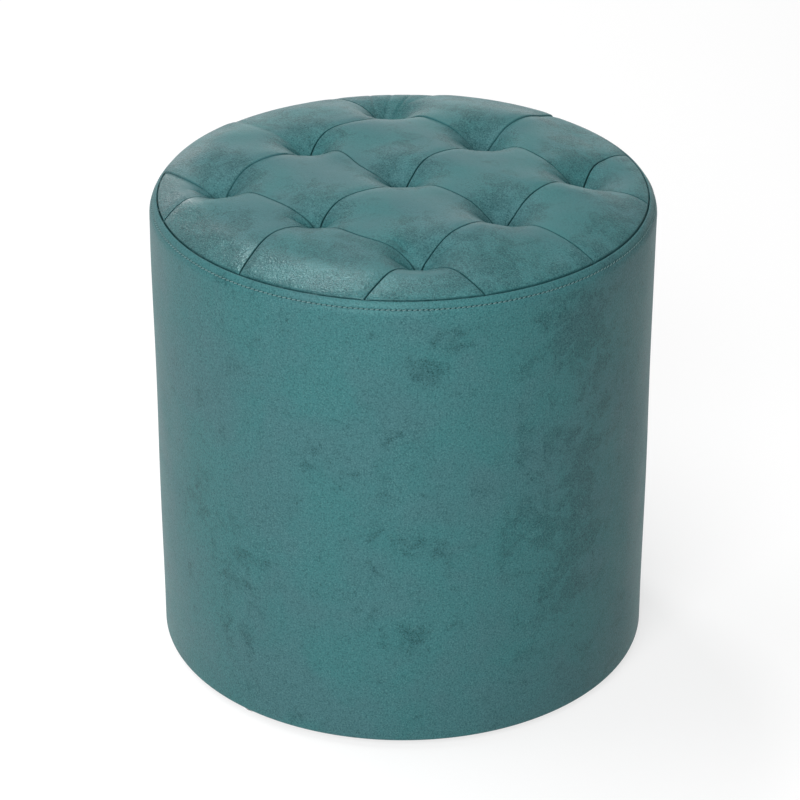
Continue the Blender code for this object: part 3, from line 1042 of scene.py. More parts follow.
@dataclass
class Studio:
    """White studio: the floor, the surroundings, the lamps and the camera."""

    floor_size: float = 14.0
    floor_colour: Colour = (0.82, 0.82, 0.82)
    bounce_colour: Colour = (0.52, 0.52, 0.52)
    glow: float = 1.14
    shade_share: float = 0.35
    surroundings: float = 0.05
    camera_place: Point = (1.4092, -1.6654, 1.3901)
    camera_turn: float = 40.3
    camera_tilt: float = 61.50
    camera_roll: float = 0.05
    lens: float = 136.7
    lamps: tuple[Lamp, ...] = (
        Lamp("key_lamp", -65.0, 34.0, 2.4, 1.1, 1.3, 48.0),
        Lamp("top_lamp", 150.0, 63.0, 1.9, 0.26, 0.26, 12.5, 0.40),
        Lamp("backdrop_lamp", 130.0, 9.0, 2.6, 1.8, 0.8, 9.0, 0.20),
        Lamp("floor_lamp", 205.0, 58.0, 3.2, 2.4, 2.4, 66.0, 0.0, FLOOR),
    )

    @staticmethod
    def seen(sketch: NodeSketch) -> Socket:
        """Says whether a ray comes from the camera, straight, through clear plastic or off a gloss.

        Args:
            sketch: Node tree to put the test in.

        Returns:
            One where it does, or else nought.
        """
        rays = sketch.node("ShaderNodeLightPath").outputs
        found = rays["Is Camera Ray"]
        for kind in ("Is Glossy Ray", "Is Transmission Ray"):
            found = sketch.math("MAXIMUM", found, rays[kind])
        return found

    def build_surroundings(self) -> None:
        """Makes the world: white where it is seen, dimmer where it lights."""
        world = bpy.data.worlds.new("surroundings")
        bpy.context.scene.world = world
        world.use_nodes = True
        sketch = NodeSketch(world.node_tree)
        light = sketch.tree.nodes["Background"]
        sketch.feed(light.inputs["Color"], WHITE)
        sketch.feed(light.inputs["Strength"], self.surroundings)
        white = sketch.cast("ShaderNodeBackground", Color=WHITE)
        shown = sketch.either(self.seen(sketch), light.outputs[0], white)
        sketch.feed(sketch.tree.nodes["World Output"].inputs["Surface"], shown)

    def floor_material(self) -> Material:
        """Returns the floor's material: white where it is seen, but for the object's shadow."""
        material = bpy.data.materials.new(FLOOR)
        material.use_nodes = True
        sketch = NodeSketch(material.node_tree)
        sketch.tree.nodes.remove(sketch.tree.nodes["Principled BSDF"])
        paint = sketch.cast("ShaderNodeBsdfDiffuse", Color=self.floor_colour)
        bounce = sketch.cast("ShaderNodeBsdfDiffuse", Color=self.bounce_colour)
        glow = sketch.cast("ShaderNodeEmission", Strength=self.glow)
        shown = sketch.either(self.shade_share, glow, paint)
        mixed = sketch.either(self.seen(sketch), bounce, shown)
        sketch.feed(sketch.tree.nodes["Material Output"].inputs["Surface"], mixed)
        return material

    def build_floor(self) -> None:
        """Lays the floor."""
        bpy.ops.mesh.primitive_plane_add(size=self.floor_size, location=(0, 0, 0))
        floor = bpy.context.object
        floor.name = FLOOR
        floor.data.materials.append(self.floor_material())

    def build_camera(self) -> None:
        """Sets up the camera where the photograph was taken from."""
        camera = bpy.data.cameras.new("camera")
        camera.lens = self.lens
        camera.sensor_width = 36.0
        turns = (("Z", self.camera_turn), ("X", self.camera_tilt), ("Z", self.camera_roll))
        pose = Matrix.Translation(self.camera_place)
        for axis, degrees in turns:
            pose = pose @ Matrix.Rotation(math.radians(degrees), 4, axis)
        obj = Bench.add("camera", camera)
        obj.matrix_world = pose
        bpy.context.scene.camera = obj

    def build(self) -> None:
        """Builds the whole studio."""
        self.build_camera()
        self.build_surroundings()
        self.build_floor()
        for lamp in self.lamps:
            lamp.build()
        bpy.context.scene.view_settings.view_transform = "Standard"


class Run(Enum):
    """Axis that a sewn seam of the top runs along."""

    ALONG_X = 0
    ALONG_Y = 1


@dataclass(frozen=True)
class SeamSpan:
    """One span of a sewn seam of the top, between two tufts or from a tuft out to the rim.

    Attributes:
        run: Axis that it runs along.
        line: Its place on the other axis, in tuft spacings.
        start: Lower tuft of an inner span, or the tuft of a tail, in tuft spacings.
        tail: Whether it goes out to the rim.
        bow: How far its middle lies off the straight line.
        lean: How far it is S-shaped, or how far a tail's end has shifted along the rim.
        lift: How much higher its middle lies.
    """

    run: Run
    line: int
    start: int
    tail: bool
    bow: float
    lean: float
    lift: float

    def share(self, along: Grid, spacing: float, rim: float) -> Plan:
        """Shares of the way along the span.

        Args:
            along: Coordinates on the seam's own axis.
            spacing: Tuft spacing.
            rim: Radius of the rim seam.

        Returns:
            The share, and whether each point is beside this span.
        """
        if not self.tail:
            share = along / spacing - self.start
            return share, (share >= 0) & (share <= 1)
        end = math.sqrt(rim ** 2 - (self.line * spacing) ** 2)
        share = (along * self.start - spacing) / (end - spacing)
        return np.minimum(share, 1.0), share >= 0

    def offset(self, share: Grid) -> Grid:
        """How far the seam lies off its straight line, by the share of the way along it."""
        swing = np.sin(np.pi * share)
        if self.tail:
            return self.bow * swing + self.lean * ease_in_out(share)
        return self.bow * swing ** 2 + self.lean * np.sin(2 * np.pi * share)

    def middle(self, spacing: float, rim: float) -> tuple[float, float]:
        """Plan place of the span's middle."""
        line = self.line * spacing
        along = (self.start + 0.5) * spacing
        if self.tail:
            along = self.start * (spacing + math.sqrt(rim ** 2 - line ** 2)) / 2
        return (along, line) if self.run is Run.ALONG_X else (line, along)


@dataclass(frozen=True)
class Crease:
    """A small straight fold pressed into the leather.

    Attributes:
        start: Plan place of one end.
        end: Plan place of the other end.
        width: Half width.
        depth: Depth at its middle, or height where it is below nought.
        blunt: How far past its ends its depth would come to nought, as a share of its length.
    """

    start: tuple[float, float]
    end: tuple[float, float]
    width: float
    depth: float
    blunt: float = 0.1

    def drop(self, x: Grid, y: Grid) -> Grid:
        """How far the fold lowers the leather at plan points."""
        way = np.subtract(self.end, self.start)
        length = float(np.hypot(*way))
        share = ((x - self.start[0]) * way[0] + (y - self.start[1]) * way[1]) / length ** 2
        across = ((x - self.start[0]) * way[1] - (y - self.start[1]) * way[0]) / length
        inside = np.clip(share, 0, 1)
        past = (share - inside) * length
        fade = np.sin(np.pi * np.clip(share * (1 - 2 * self.blunt) + self.blunt, 0, 1))
        return self.depth * fade * bell(np.hypot(across, past), self.width)


def seam_spans() -> tuple[SeamSpan, ...]:
    """Returns every span of the top's seams, with the hand-sewn offsets that the photograph shows.

    Returns:
        The spans, from rows of axis, line, start, and bow, lean and lift in millimetres.
    """
    inner = (
        (Run.ALONG_Y, -1, -1, -0.8, -3.9, 1.6),
        (Run.ALONG_Y, -1, 0, 4.1, -7.0, 2.1),
        (Run.ALONG_Y, 0, -1, -0.4, -4.7, 2.9),
        (Run.ALONG_Y, 0, 0, -1.7, -3.0, 1.7),
        (Run.ALONG_Y, 1, -1, 3.2, -1.2, 10.0),
        (Run.ALONG_Y, 1, 0, -1.0, -0.1, 1.1),
        (Run.ALONG_X, -1, -1, -1.5, 1.4, -1.7),
        (Run.ALONG_X, -1, 0, -6.0, -2.0, -2.0),
        (Run.ALONG_X, 0, -1, -2.7, 6.1, -6.0),
        (Run.ALONG_X, 0, 0, -0.3, 1.1, -0.5),
        (Run.ALONG_X, 1, -1, 0.0, 2.0, -2.0),
        (Run.ALONG_X, 1, 0, 2.1, 4.8, -3.7),
    )
    tails = (
        (Run.ALONG_Y, -1, -1, -6.2, -6.1, 0.7),
        (Run.ALONG_Y, 0, -1, -9.0, 3.5, -0.1),
        (Run.ALONG_Y, 1, -1, -2.4, 2.1, 3.0),
        (Run.ALONG_Y, -1, 1, -4.2, 2.7, -1.0),
        (Run.ALONG_Y, 0, 1, -0.4, -1.3, 2.4),
        (Run.ALONG_Y, 1, 1, -6.3, -8.5, -3.6),
        (Run.ALONG_X, -1, -1, -7.7, 4.2, -3.1),
        (Run.ALONG_X, 0, -1, -8.0, 10.0, -3.0),
        (Run.ALONG_X, 1, -1, -2.0, 2.0, -1.0),
        (Run.ALONG_X, -1, 1, 2.8, -1.2, 3.0),
        (Run.ALONG_X, 0, 1, 2.2, -5.7, -3.0),
        (Run.ALONG_X, 1, 1, -0.3, 6.1, -3.0),
    )
    return tuple(
        SeamSpan(run, line, start, tail, bow * MM, lean * MM, lift * MM / 2)
        for tail, rows in ((False, inner), (True, tails))
        for run, line, start, bow, lean, lift in rows
    )


@dataclass(frozen=True)
class Settling:
    """A place where the stuffing has settled, or stands fuller.

    Attributes:
        place: Its plan place.
        reach: How far it reaches.
        rise: How much higher its middle lies.
    """

    place: tuple[float, float]
    reach: float
    rise: float

    def lift(self, x: Grid, y: Grid) -> Grid:
        """How far it lifts the leather at plan points."""
        return self.rise * bell(np.hypot(x - self.place[0], y - self.place[1]), self.reach)


@dataclass
class Crown:
    """The tufted top's shape: heights over the plan, and where its sewn lines run."""

    sizes: PoufSizes = field(default_factory=PoufSizes)
    spans: tuple[SeamSpan, ...] = field(default_factory=seam_spans)
    rise: float = 0.0175
    power: int = 6
    dip_depth: float = 0.0153
    dip_width: float = 0.0218
    funnel_depth: float = 0.0050
    funnel_width: float = 0.0045
    fold_depth: float = 0.0095
    fold_width: float = 0.0024
    fold_reach: float = 0.0115
    fold_turn: float = math.radians(40.0)
    fold_shift: float = 0.0045
    lift_width: float = 0.030
    quilt_height: float = 0.0004
    quilt_reach: float = 0.014
    quilt_folds: int = 4
    pleats: int = 7
    pleat_depth: float = 0.0001
    pleat_reach: float = 0.012
    pleat_phases: Range = (2.1, 3.7)
    hold_start: float = 0.15
    rim_fade: float = 8.0
    uneven: float = 0.00035
    uneven_seed: int = 11
    uneven_waves: int = 10
    uneven_lengths: Range = (0.035, 0.090)
    slope_step: float = 0.0010
    slope_start: float = 0.05
    slope_span: float = 0.26
    dip_shares: tuple[tuple[float, ...], ...] = (
        (0.82, 0.58, 0.82),
        (0.98, 0.88, 1.0),
        (1.0, 1.0, 0.90),
    )
    settlings: tuple[Settling, ...] = (
        Settling((-0.106, 0.126), 0.042, -0.0024),
        Settling((-0.100, 0.100), 0.030, -0.0010),
        Settling((0.0, 0.100), 0.035, -0.0012),
        Settling((0.055, 0.168), 0.045, -0.0034),
        Settling((0.120, 0.125), 0.042, -0.0026),
        Settling((0.100, 0.0), 0.036, -0.0024),
        Settling((-0.176, -0.040), 0.038, 0.0022),
    )
    creases: tuple[Crease, ...] = (
        Crease((-0.103, 0.108), (-0.118, 0.150), 0.0013, 0.0013),
        Crease((-0.109, 0.104), (-0.132, 0.142), 0.0012, 0.0012),
        Crease((-0.113, 0.099), (-0.145, 0.128), 0.0012, 0.0011),
        Crease((0.094, -0.093), (0.071, -0.094), 0.0030, 0.0022),
        Crease((0.104, -0.096), (0.113, -0.070), 0.0030, 0.0012),
    )

    def tufts(self) -> list[Tuft]:
        """Returns row, column and plan place of each tuft."""
        step = self.sizes.tuft_spacing
        return [
            (row, column, (column - 2) * step, (row - 2) * step)
            for row in (1, 2, 3)
            for column in (1, 2, 3)
        ]

    def warp(self, x: Grid, y: Grid) -> Plan:
        """Moves plan points so that the straight lines between patches become the real seams.

        Args:
            x: Straight plan places on X.
            y: Straight plan places on Y.

        Returns:
            The moved places.
        """
        step, rim = self.sizes.tuft_spacing, self.sizes.seam_radius
        moved = [x.copy(), y.copy()]
        for span in self.spans:
            along, other = (x, y) if span.run is Run.ALONG_X else (y, x)
            share, beside = span.share(along, step, rim)
            away = np.clip(np.abs(other / step - span.line), 0, 1)
            push = np.where(beside, span.offset(share), 0.0) * np.cos(np.pi / 2 * away) ** 2
            moved[1 if span.run is Run.ALONG_X else 0] += push
        before = np.hypot(x, y)
        after = np.maximum(np.hypot(*moved), 1e-9)
        hold = np.clip((before - self.hold_start) / (rim - self.hold_start), 0, 1) ** 2
        scale = 1 + hold * (before / after - 1)
        return moved[0] * scale, moved[1] * scale

    def pull(self, x: Grid, y: Grid, tuft: Tuft) -> Grid:
        """How far one tuft pulls the leather down, over plan points.

        Args:
            x: Plan places on X.
            y: Plan places on Y.
            tuft: The tuft.

        Returns:
            The drops: its wide dip, its funnel, its fold, the quilting and its pleats.
        """
        row, column, tuft_x, tuft_y = tuft
        away = np.hypot(x - tuft_x, y - tuft_y)
        turn = np.arctan2(y - tuft_y, x - tuft_x)
        dip = self.dip_depth * self.dip_shares[row - 1][column - 1]
        drop = dip * bell(away, self.dip_width)
        drop = drop + self.funnel_depth * np.exp(-away / self.funnel_width)
        along = away * np.cos(turn - self.fold_turn) + self.fold_shift
        across = away * np.abs(np.sin(turn - self.fold_turn))
        fold = bell(along, self.fold_reach) * np.exp(-across / self.fold_width)
        drop = drop + self.fold_depth * fold
        quilt = np.cos(self.quilt_folds * turn) * ring(away, self.quilt_reach)
        drop = drop + self.quilt_height * quilt
        phase = self.pleat_phases[0] * row + self.pleat_phases[1] * column
        gather = np.cos(self.pleats * turn + phase) * ring(away, self.pleat_reach)
        return drop - self.pleat_depth * gather

    def height(self, x: Grid, y: Grid) -> Grid:
        """Height of the leather's outside, seams apart, over plan points.

        Args:
            x: Plan places on X.
            y: Plan places on Y.

        Returns:
            The heights.
        """
        sizes = self.sizes
        share = np.hypot(x, y) / sizes.seam_radius
        height = sizes.rim_z + self.rise * (1 - share ** self.power)
        for tuft in self.tufts():
            height = height - self.pull(x, y, tuft)
        fade = np.clip((1 - share) * self.rim_fade, 0, 1)
        for span in self.spans:
            middle_x, middle_y = span.middle(sizes.tuft_spacing, sizes.seam_radius)
            away = np.hypot(x - middle_x, y - middle_y)
            height = height + span.lift * fade * bell(away, self.lift_width)
        for settling in self.settlings:
            height = height + fade * settling.lift(x, y)
        for crease in self.creases:
            height = height - crease.drop(x, y)
        return height + fade * self.unevenness(x, y)

    def slope(self, x: Grid, y: Grid) -> Grid:
        """How steep the leather is over plan points.

        Args:
            x: Plan places on X.
            y: Plan places on Y.

        Returns:
            Shares from 0 on its level parts to 1 on its slopes.
        """
        step = self.slope_step
        rises = [
            self.height(x + step * a, y + step * b) - self.height(x - step * a, y - step * b)
            for a, b in ((1, 0), (0, 1))
        ]
        steep = np.hypot(*rises) / step / 2
        return np.clip((steep - self.slope_start) / self.slope_span, 0, 1)

    def unevenness(self, x: Grid, y: Grid) -> Grid:
        """Slight irregularity of stuffed leather, the same in every run.

        Args:
            x: Plan places on X.
            y: Plan places on Y.

        Returns:
            The rises.
        """
        chance = np.random.default_rng(self.uneven_seed)
        total = np.zeros_like(x)
        for _ in range(self.uneven_waves):
            turn, phase = chance.uniform(0, 2 * np.pi, 2)
            length = chance.uniform(*self.uneven_lengths)
            along = x * math.cos(turn) + y * math.sin(turn)
            total += np.sin(along * 2 * np.pi / length + phase)
        return total * self.uneven / math.sqrt(self.uneven_waves / 2)


@dataclass
class TopCover:
    """Sixteen sewn leather patches over the tufted pad."""

    crown: Crown = field(default_factory=Crown)
    finish: LeatherFinish = LeatherFinish("leather_top")
    square_steps: int = 88
    rim_steps: int = 64
    ease: float = 0.86
    roll_width: float = 0.0008
    roll_depth: float = 0.0013
    rim_roll_width: float = 0.0011
    rim_roll_depth: float = 0.0015
    rim_swell_width: float = 0.012
    valley_width: float = 0.0050
    valley_depth: float = 0.0006
    pucker_depth: float = 0.00010
    pucker_pitch: float = 0.0074
    pucker_width: float = 0.0040
    pucker_wander: float = 3.0
    pucker_drift: float = 61.0
    # Width of the painted seam shade at the sewn edges.
    seam_shade_width: float = 0.0004
    # Painted shade: slopes darken by this share of their slope value, and the spots set off behind
    # each tuft and listed below add to that value.
    slope_shade_share: float = 0.80
    dish_shade_offset: tuple[float, float] = (-0.030, 0.026)
    shade_spot_reach: float = 0.024
    # Spots of painted shade on the front slope.
    painted_light: tuple[Range, ...] = (
        (0.020, -0.135),
        (0.055, -0.128),
        (-0.045, -0.152),
        (0.140, -0.078),
    )
    polish_start: float = 0.148
    polish_reach: float = 0.028
    polish_turn: float = math.radians(-100.0)
    polish_power: int = 6
    allowance: float = 0.0038

    def graded(self, steps: int) -> Grid:
        """Shares from 0 to 1 that lie closer together at both ends."""
        share = np.linspace(0, 1, steps + 1)
        return share - self.ease * np.sin(2 * np.pi * share) / (2 * np.pi)

    def corner_plan(self, side_x: int, side_y: int) -> Plan:
        """Straight plan grid of a corner patch, between two seams and the rim.

        Args:
            side_x: -1 or 1, the side of the corner on X.
            side_y: -1 or 1, the side of the corner on Y.

        Returns:
            The grid.
        """
        sizes = self.crown.sizes
        a, b = np.meshgrid(*[self.graded(self.rim_steps)] * 2)
        most = np.maximum(np.maximum(a, b), 1e-12)
        way_a, way_b = a / most, b / most
        square = way_a ** 2 + way_b ** 2
        middle = sizes.tuft_spacing * (way_a + way_b) / square
        spare = (2 * sizes.tuft_spacing ** 2 - sizes.seam_radius ** 2) / square
        reach = np.where(most > 1e-9, -middle + np.sqrt(middle ** 2 - spare), 0.0)
        x = sizes.tuft_spacing + most * reach * way_a
        y = sizes.tuft_spacing + most * reach * way_b
        return side_x * x, side_y * y

    def edge_plan(self, low: float, side: int, turned: bool) -> Plan:
        """Straight plan grid of a patch from a row of tufts out to the rim.

        Args:
            low: Place of its lower seam across the row.
            side: -1 or 1, the side of the top that it is on.
            turned: Whether it is on a side of X, and not of Y.

        Returns:
            The grid.
        """
        sizes = self.crown.sizes
        across, out = np.meshgrid(self.graded(self.square_steps), self.graded(self.rim_steps))
        across = low + sizes.tuft_spacing * across
        rim = np.sqrt(sizes.seam_radius ** 2 - across ** 2)
        out = side * (sizes.tuft_spacing + (rim - sizes.tuft_spacing) * out)
        return (out, across) if turned else (across, out)

    def plan(self, row: int, column: int) -> Plan:
        """Straight plan grid of one patch, counted from the front left.

        Args:
            row: 1 to 4, along Y.
            column: 1 to 4, along X.

        Returns:
            The grid.
        """
        step = self.crown.sizes.tuft_spacing
        low_x, low_y = (column - 3) * step, (row - 3) * step
        side_x, side_y = (-1 if column < 3 else 1), (-1 if row < 3 else 1)
        if row in (1, 4) and column in (1, 4):
            return self.corner_plan(side_x, side_y)
        if row in (1, 4):
            return self.edge_plan(low_x, side_y, False)
        if column in (1, 4):
            return self.edge_plan(low_y, side_x, True)
        share_x, share_y = np.meshgrid(*[self.graded(self.square_steps)] * 2)
        return low_x + step * share_x, low_y + step * share_y

    def seam_offsets(self, x: Grid, y: Grid) -> tuple[Grid, ...]:
        """Distances of straight plan points from the seams.

        Args:
            x: Straight plan places on X.
            y: Straight plan places on Y.

        Returns:
            Distance from the nearest seam across X, from that across Y and from the rim seam.
        """
        lines = self.crown.sizes.seam_lines
        inner = [np.min([np.abs(place - line) for line in lines], axis=0) for place in (x, y)]
        return *inner, np.abs(self.crown.sizes.seam_radius - np.hypot(x, y))

    def sewn_drop(self, x: Grid, y: Grid) -> Grid:
        """How far the seams pull the leather down, over straight plan points.

        Args:
            x: Straight plan places on X.
            y: Straight plan places on Y.

        Returns:
            The drops.
        """
        sizes = self.crown.sizes
        off_x, off_y, off_rim = self.seam_offsets(x, y)
        inner = np.minimum(off_x, off_y)
        along = np.where(off_x < off_y, y, x)
        wander = self.pucker_wander * np.sin(along * self.pucker_drift)
        pucker = 0.5 + 0.5 * np.sin(2 * np.pi * along / self.pucker_pitch + wander)
        rim = (sizes.rolled(off_rim, self.rim_roll_width) - 1) * bell(off_rim, self.rim_swell_width)
        drop = self.roll_depth * sizes.rolled(inner, self.roll_width)
        drop = drop + self.rim_roll_depth * rim
        drop = drop + self.valley_depth * bell(inner, self.valley_width)
        return drop + self.pucker_depth * pucker * bell(inner, self.pucker_width)

    def seam_shade(self, x: Grid, y: Grid) -> Grid:
        """How near straight plan points are to a sewn edge, 1 at the edge: the share of painted
        seam shade.
        """
        off = np.min(self.seam_offsets(x, y), axis=0) - self.crown.sizes.seam_gap / 2
        return bell(np.maximum(off, 0), self.seam_shade_width)

    def shade_and_polish(self, x: Grid, y: Grid) -> Plan:
        """How much painted shade the leather takes over plan points, and how polished.

        Args:
            x: Plan places on X.
            y: Plan places on Y.

        Returns:
            The painted shade and the polished shares, placed where the photograph shows them.
        """
        aside, beyond = self.dish_shade_offset
        spots = [(at_x + aside, at_y + beyond) for *_, at_x, at_y in self.crown.tufts()]
        shares = [
            bell(np.hypot(x - spot_x, y - spot_y), self.shade_spot_reach)
            for spot_x, spot_y in (*spots, *self.painted_light)
        ]
        polish = np.clip((np.hypot(x, y) - self.polish_start) / self.polish_reach, 0, 1)
        facing = np.cos((np.arctan2(y, x) - self.polish_turn) / 2) ** self.polish_power
        return np.max(shares, axis=0), ease_in_out(polish) * facing

    def patch(self, row: int, column: int) -> Piece:
        """Builds one patch as a leather shell with its edges turned down into the seams.

        Args:
            row: 1 to 4, along Y.
            column: 1 to 4, along X.

        Returns:
            The patch.
        """
        sizes = self.crown.sizes
        places, half = list(self.plan(row, column)), sizes.seam_gap / 2
        for axis in (0, 1):
            middle = float(places[axis].mean())
            for line in sizes.seam_lines:
                close = np.abs(places[axis] - line) < half
                edge = line + math.copysign(half, middle - line)
                places[axis] = np.where(close, edge, places[axis])
        reach = np.maximum(np.hypot(*places), 1e-9)
        x, y = (place * np.minimum(1, (sizes.seam_radius - half) / reach) for place in places)
        drop, turned = self.sewn_drop(x, y), self.seam_shade(x, y)
        x, y = self.crown.warp(x, y)
        height = self.crown.height(x, y) - drop
        points = np.pad(np.stack([x, y, height], -1), ((1, 1), (1, 1), (0, 0)), mode="edge")
        for edge in (points[0], points[-1], points[:, 0], points[:, -1]):
            edge[:, 2] -= self.allowance
        for end in (points[0, 0], points[0, -1], points[-1, 0], points[-1, -1]):
            end[2] += self.allowance
        obj = Bench.surface(f"leather_patch_{row}_{column}", points)
        wear_and_shade, polish = self.shade_and_polish(x, y)
        slope = np.clip(self.crown.slope(x, y) + wear_and_shade, 0, 1)
        # Painted shade: the slope value and the shade value from it give slopes and shade spots
        # more dark specks and a darker stain; the edge value darkens the sewn edges.
        looks = {
            self.finish.slope: slope,
            self.finish.wear_and_shade: slope * self.slope_shade_share,
            self.finish.edge: turned,
            self.finish.polish: polish,
        }
        for name, values in looks.items():
            Bench.mark(obj, name, np.pad(values, 1, mode="edge"))
        mesh = bmesh.new()
        mesh.from_mesh(obj.data)
        bmesh.ops.remove_doubles(mesh, verts=mesh.verts, dist=1e-6)
        bmesh.ops.recalc_face_normals(mesh, faces=mesh.faces)
        middle = max(mesh.faces, key=lambda face: face.calc_area())
        if middle.normal.z < 0:
            bmesh.ops.reverse_faces(mesh, faces=mesh.faces)
        mesh.to_mesh(obj.data)
        mesh.free()
        Bench.thicken(obj, sizes.leather)
        return obj

    def build(self) -> None:
        """Builds and dresses all the patches."""
        material = self.finish.material()
        for row in range(1, 5):
            for column in range(1, 5):
                patch = self.patch(row, column)
                Bench.hand_over(patch, material, Slot.LEATHER_TOP, [f"top_patch_{row}_{column}"])


@dataclass(frozen=True)
class WearAndShadeZone:
    """A darker, worn zone of the side's leather.

    Attributes:
        azimuth: Its direction, in degrees from +X.
        height: Its height above the floor.
        width: Half its width.
        rise: Half its height.
        share: How dark it makes the leather, up to 1.
    """

    azimuth: float
    height: float
    width: float
    rise: float
    share: float

    def wear_and_shade(self, turn: Grid, level: Grid, radius: float) -> Grid:
        """How dark the zone makes the leather at some angles and heights."""
        aside = (turn - math.radians(self.azimuth) + np.pi) % (2 * np.pi) - np.pi
        across, up = aside * radius / self.width, (level - self.height) / self.rise
        return self.share * np.exp(-(across ** 2) - up ** 2)


def wear_and_shade_zones() -> tuple[WearAndShadeZone, ...]:
    """Returns the side's darker zones, worn patches and painted shade, listed at the front and
    repeated at the back.
    """
    front = (
        (-75, 0.372, 0.012, 0.008, 0.5),
        (-39, 0.362, 0.017, 0.010, 0.9),
        (-44, 0.338, 0.021, 0.014, 0.9),
        (-90, 0.320, 0.022, 0.024, 0.4),
        (-6, 0.352, 0.037, 0.025, 0.9),
        (-12, 0.352, 0.032, 0.028, 0.6),
        (-24, 0.322, 0.019, 0.012, 0.5),
        (0, 0.306, 0.040, 0.036, 0.7),
        (-19, 0.260, 0.024, 0.024, 0.7),
        (-6, 0.222, 0.027, 0.038, 0.9),
        (-20, 0.186, 0.032, 0.024, 0.9),
        (-5, 0.160, 0.033, 0.029, 0.9),
        (-11, 0.112, 0.044, 0.025, 0.8),
        (-44, 0.186, 0.025, 0.013, 0.6),
        (-56, 0.152, 0.018, 0.025, 0.6),
        (-49, 0.104, 0.025, 0.020, 0.7),
        (-90, 0.148, 0.026, 0.039, 0.5),
        (-102, 0.186, 0.024, 0.029, 0.5),
        (-16, 0.070, 0.025, 0.013, 0.5),
        (-70, 0.258, 0.026, 0.024, 0.35),
        (-51, 0.276, 0.017, 0.019, 0.4),
        (-93, 0.088, 0.027, 0.025, 0.5),
        (10, 0.058, 0.027, 0.029, 0.5),
    )
    return tuple(WearAndShadeZone(row[0] + turn, *row[1:]) for row in front for turn in (0, 150))


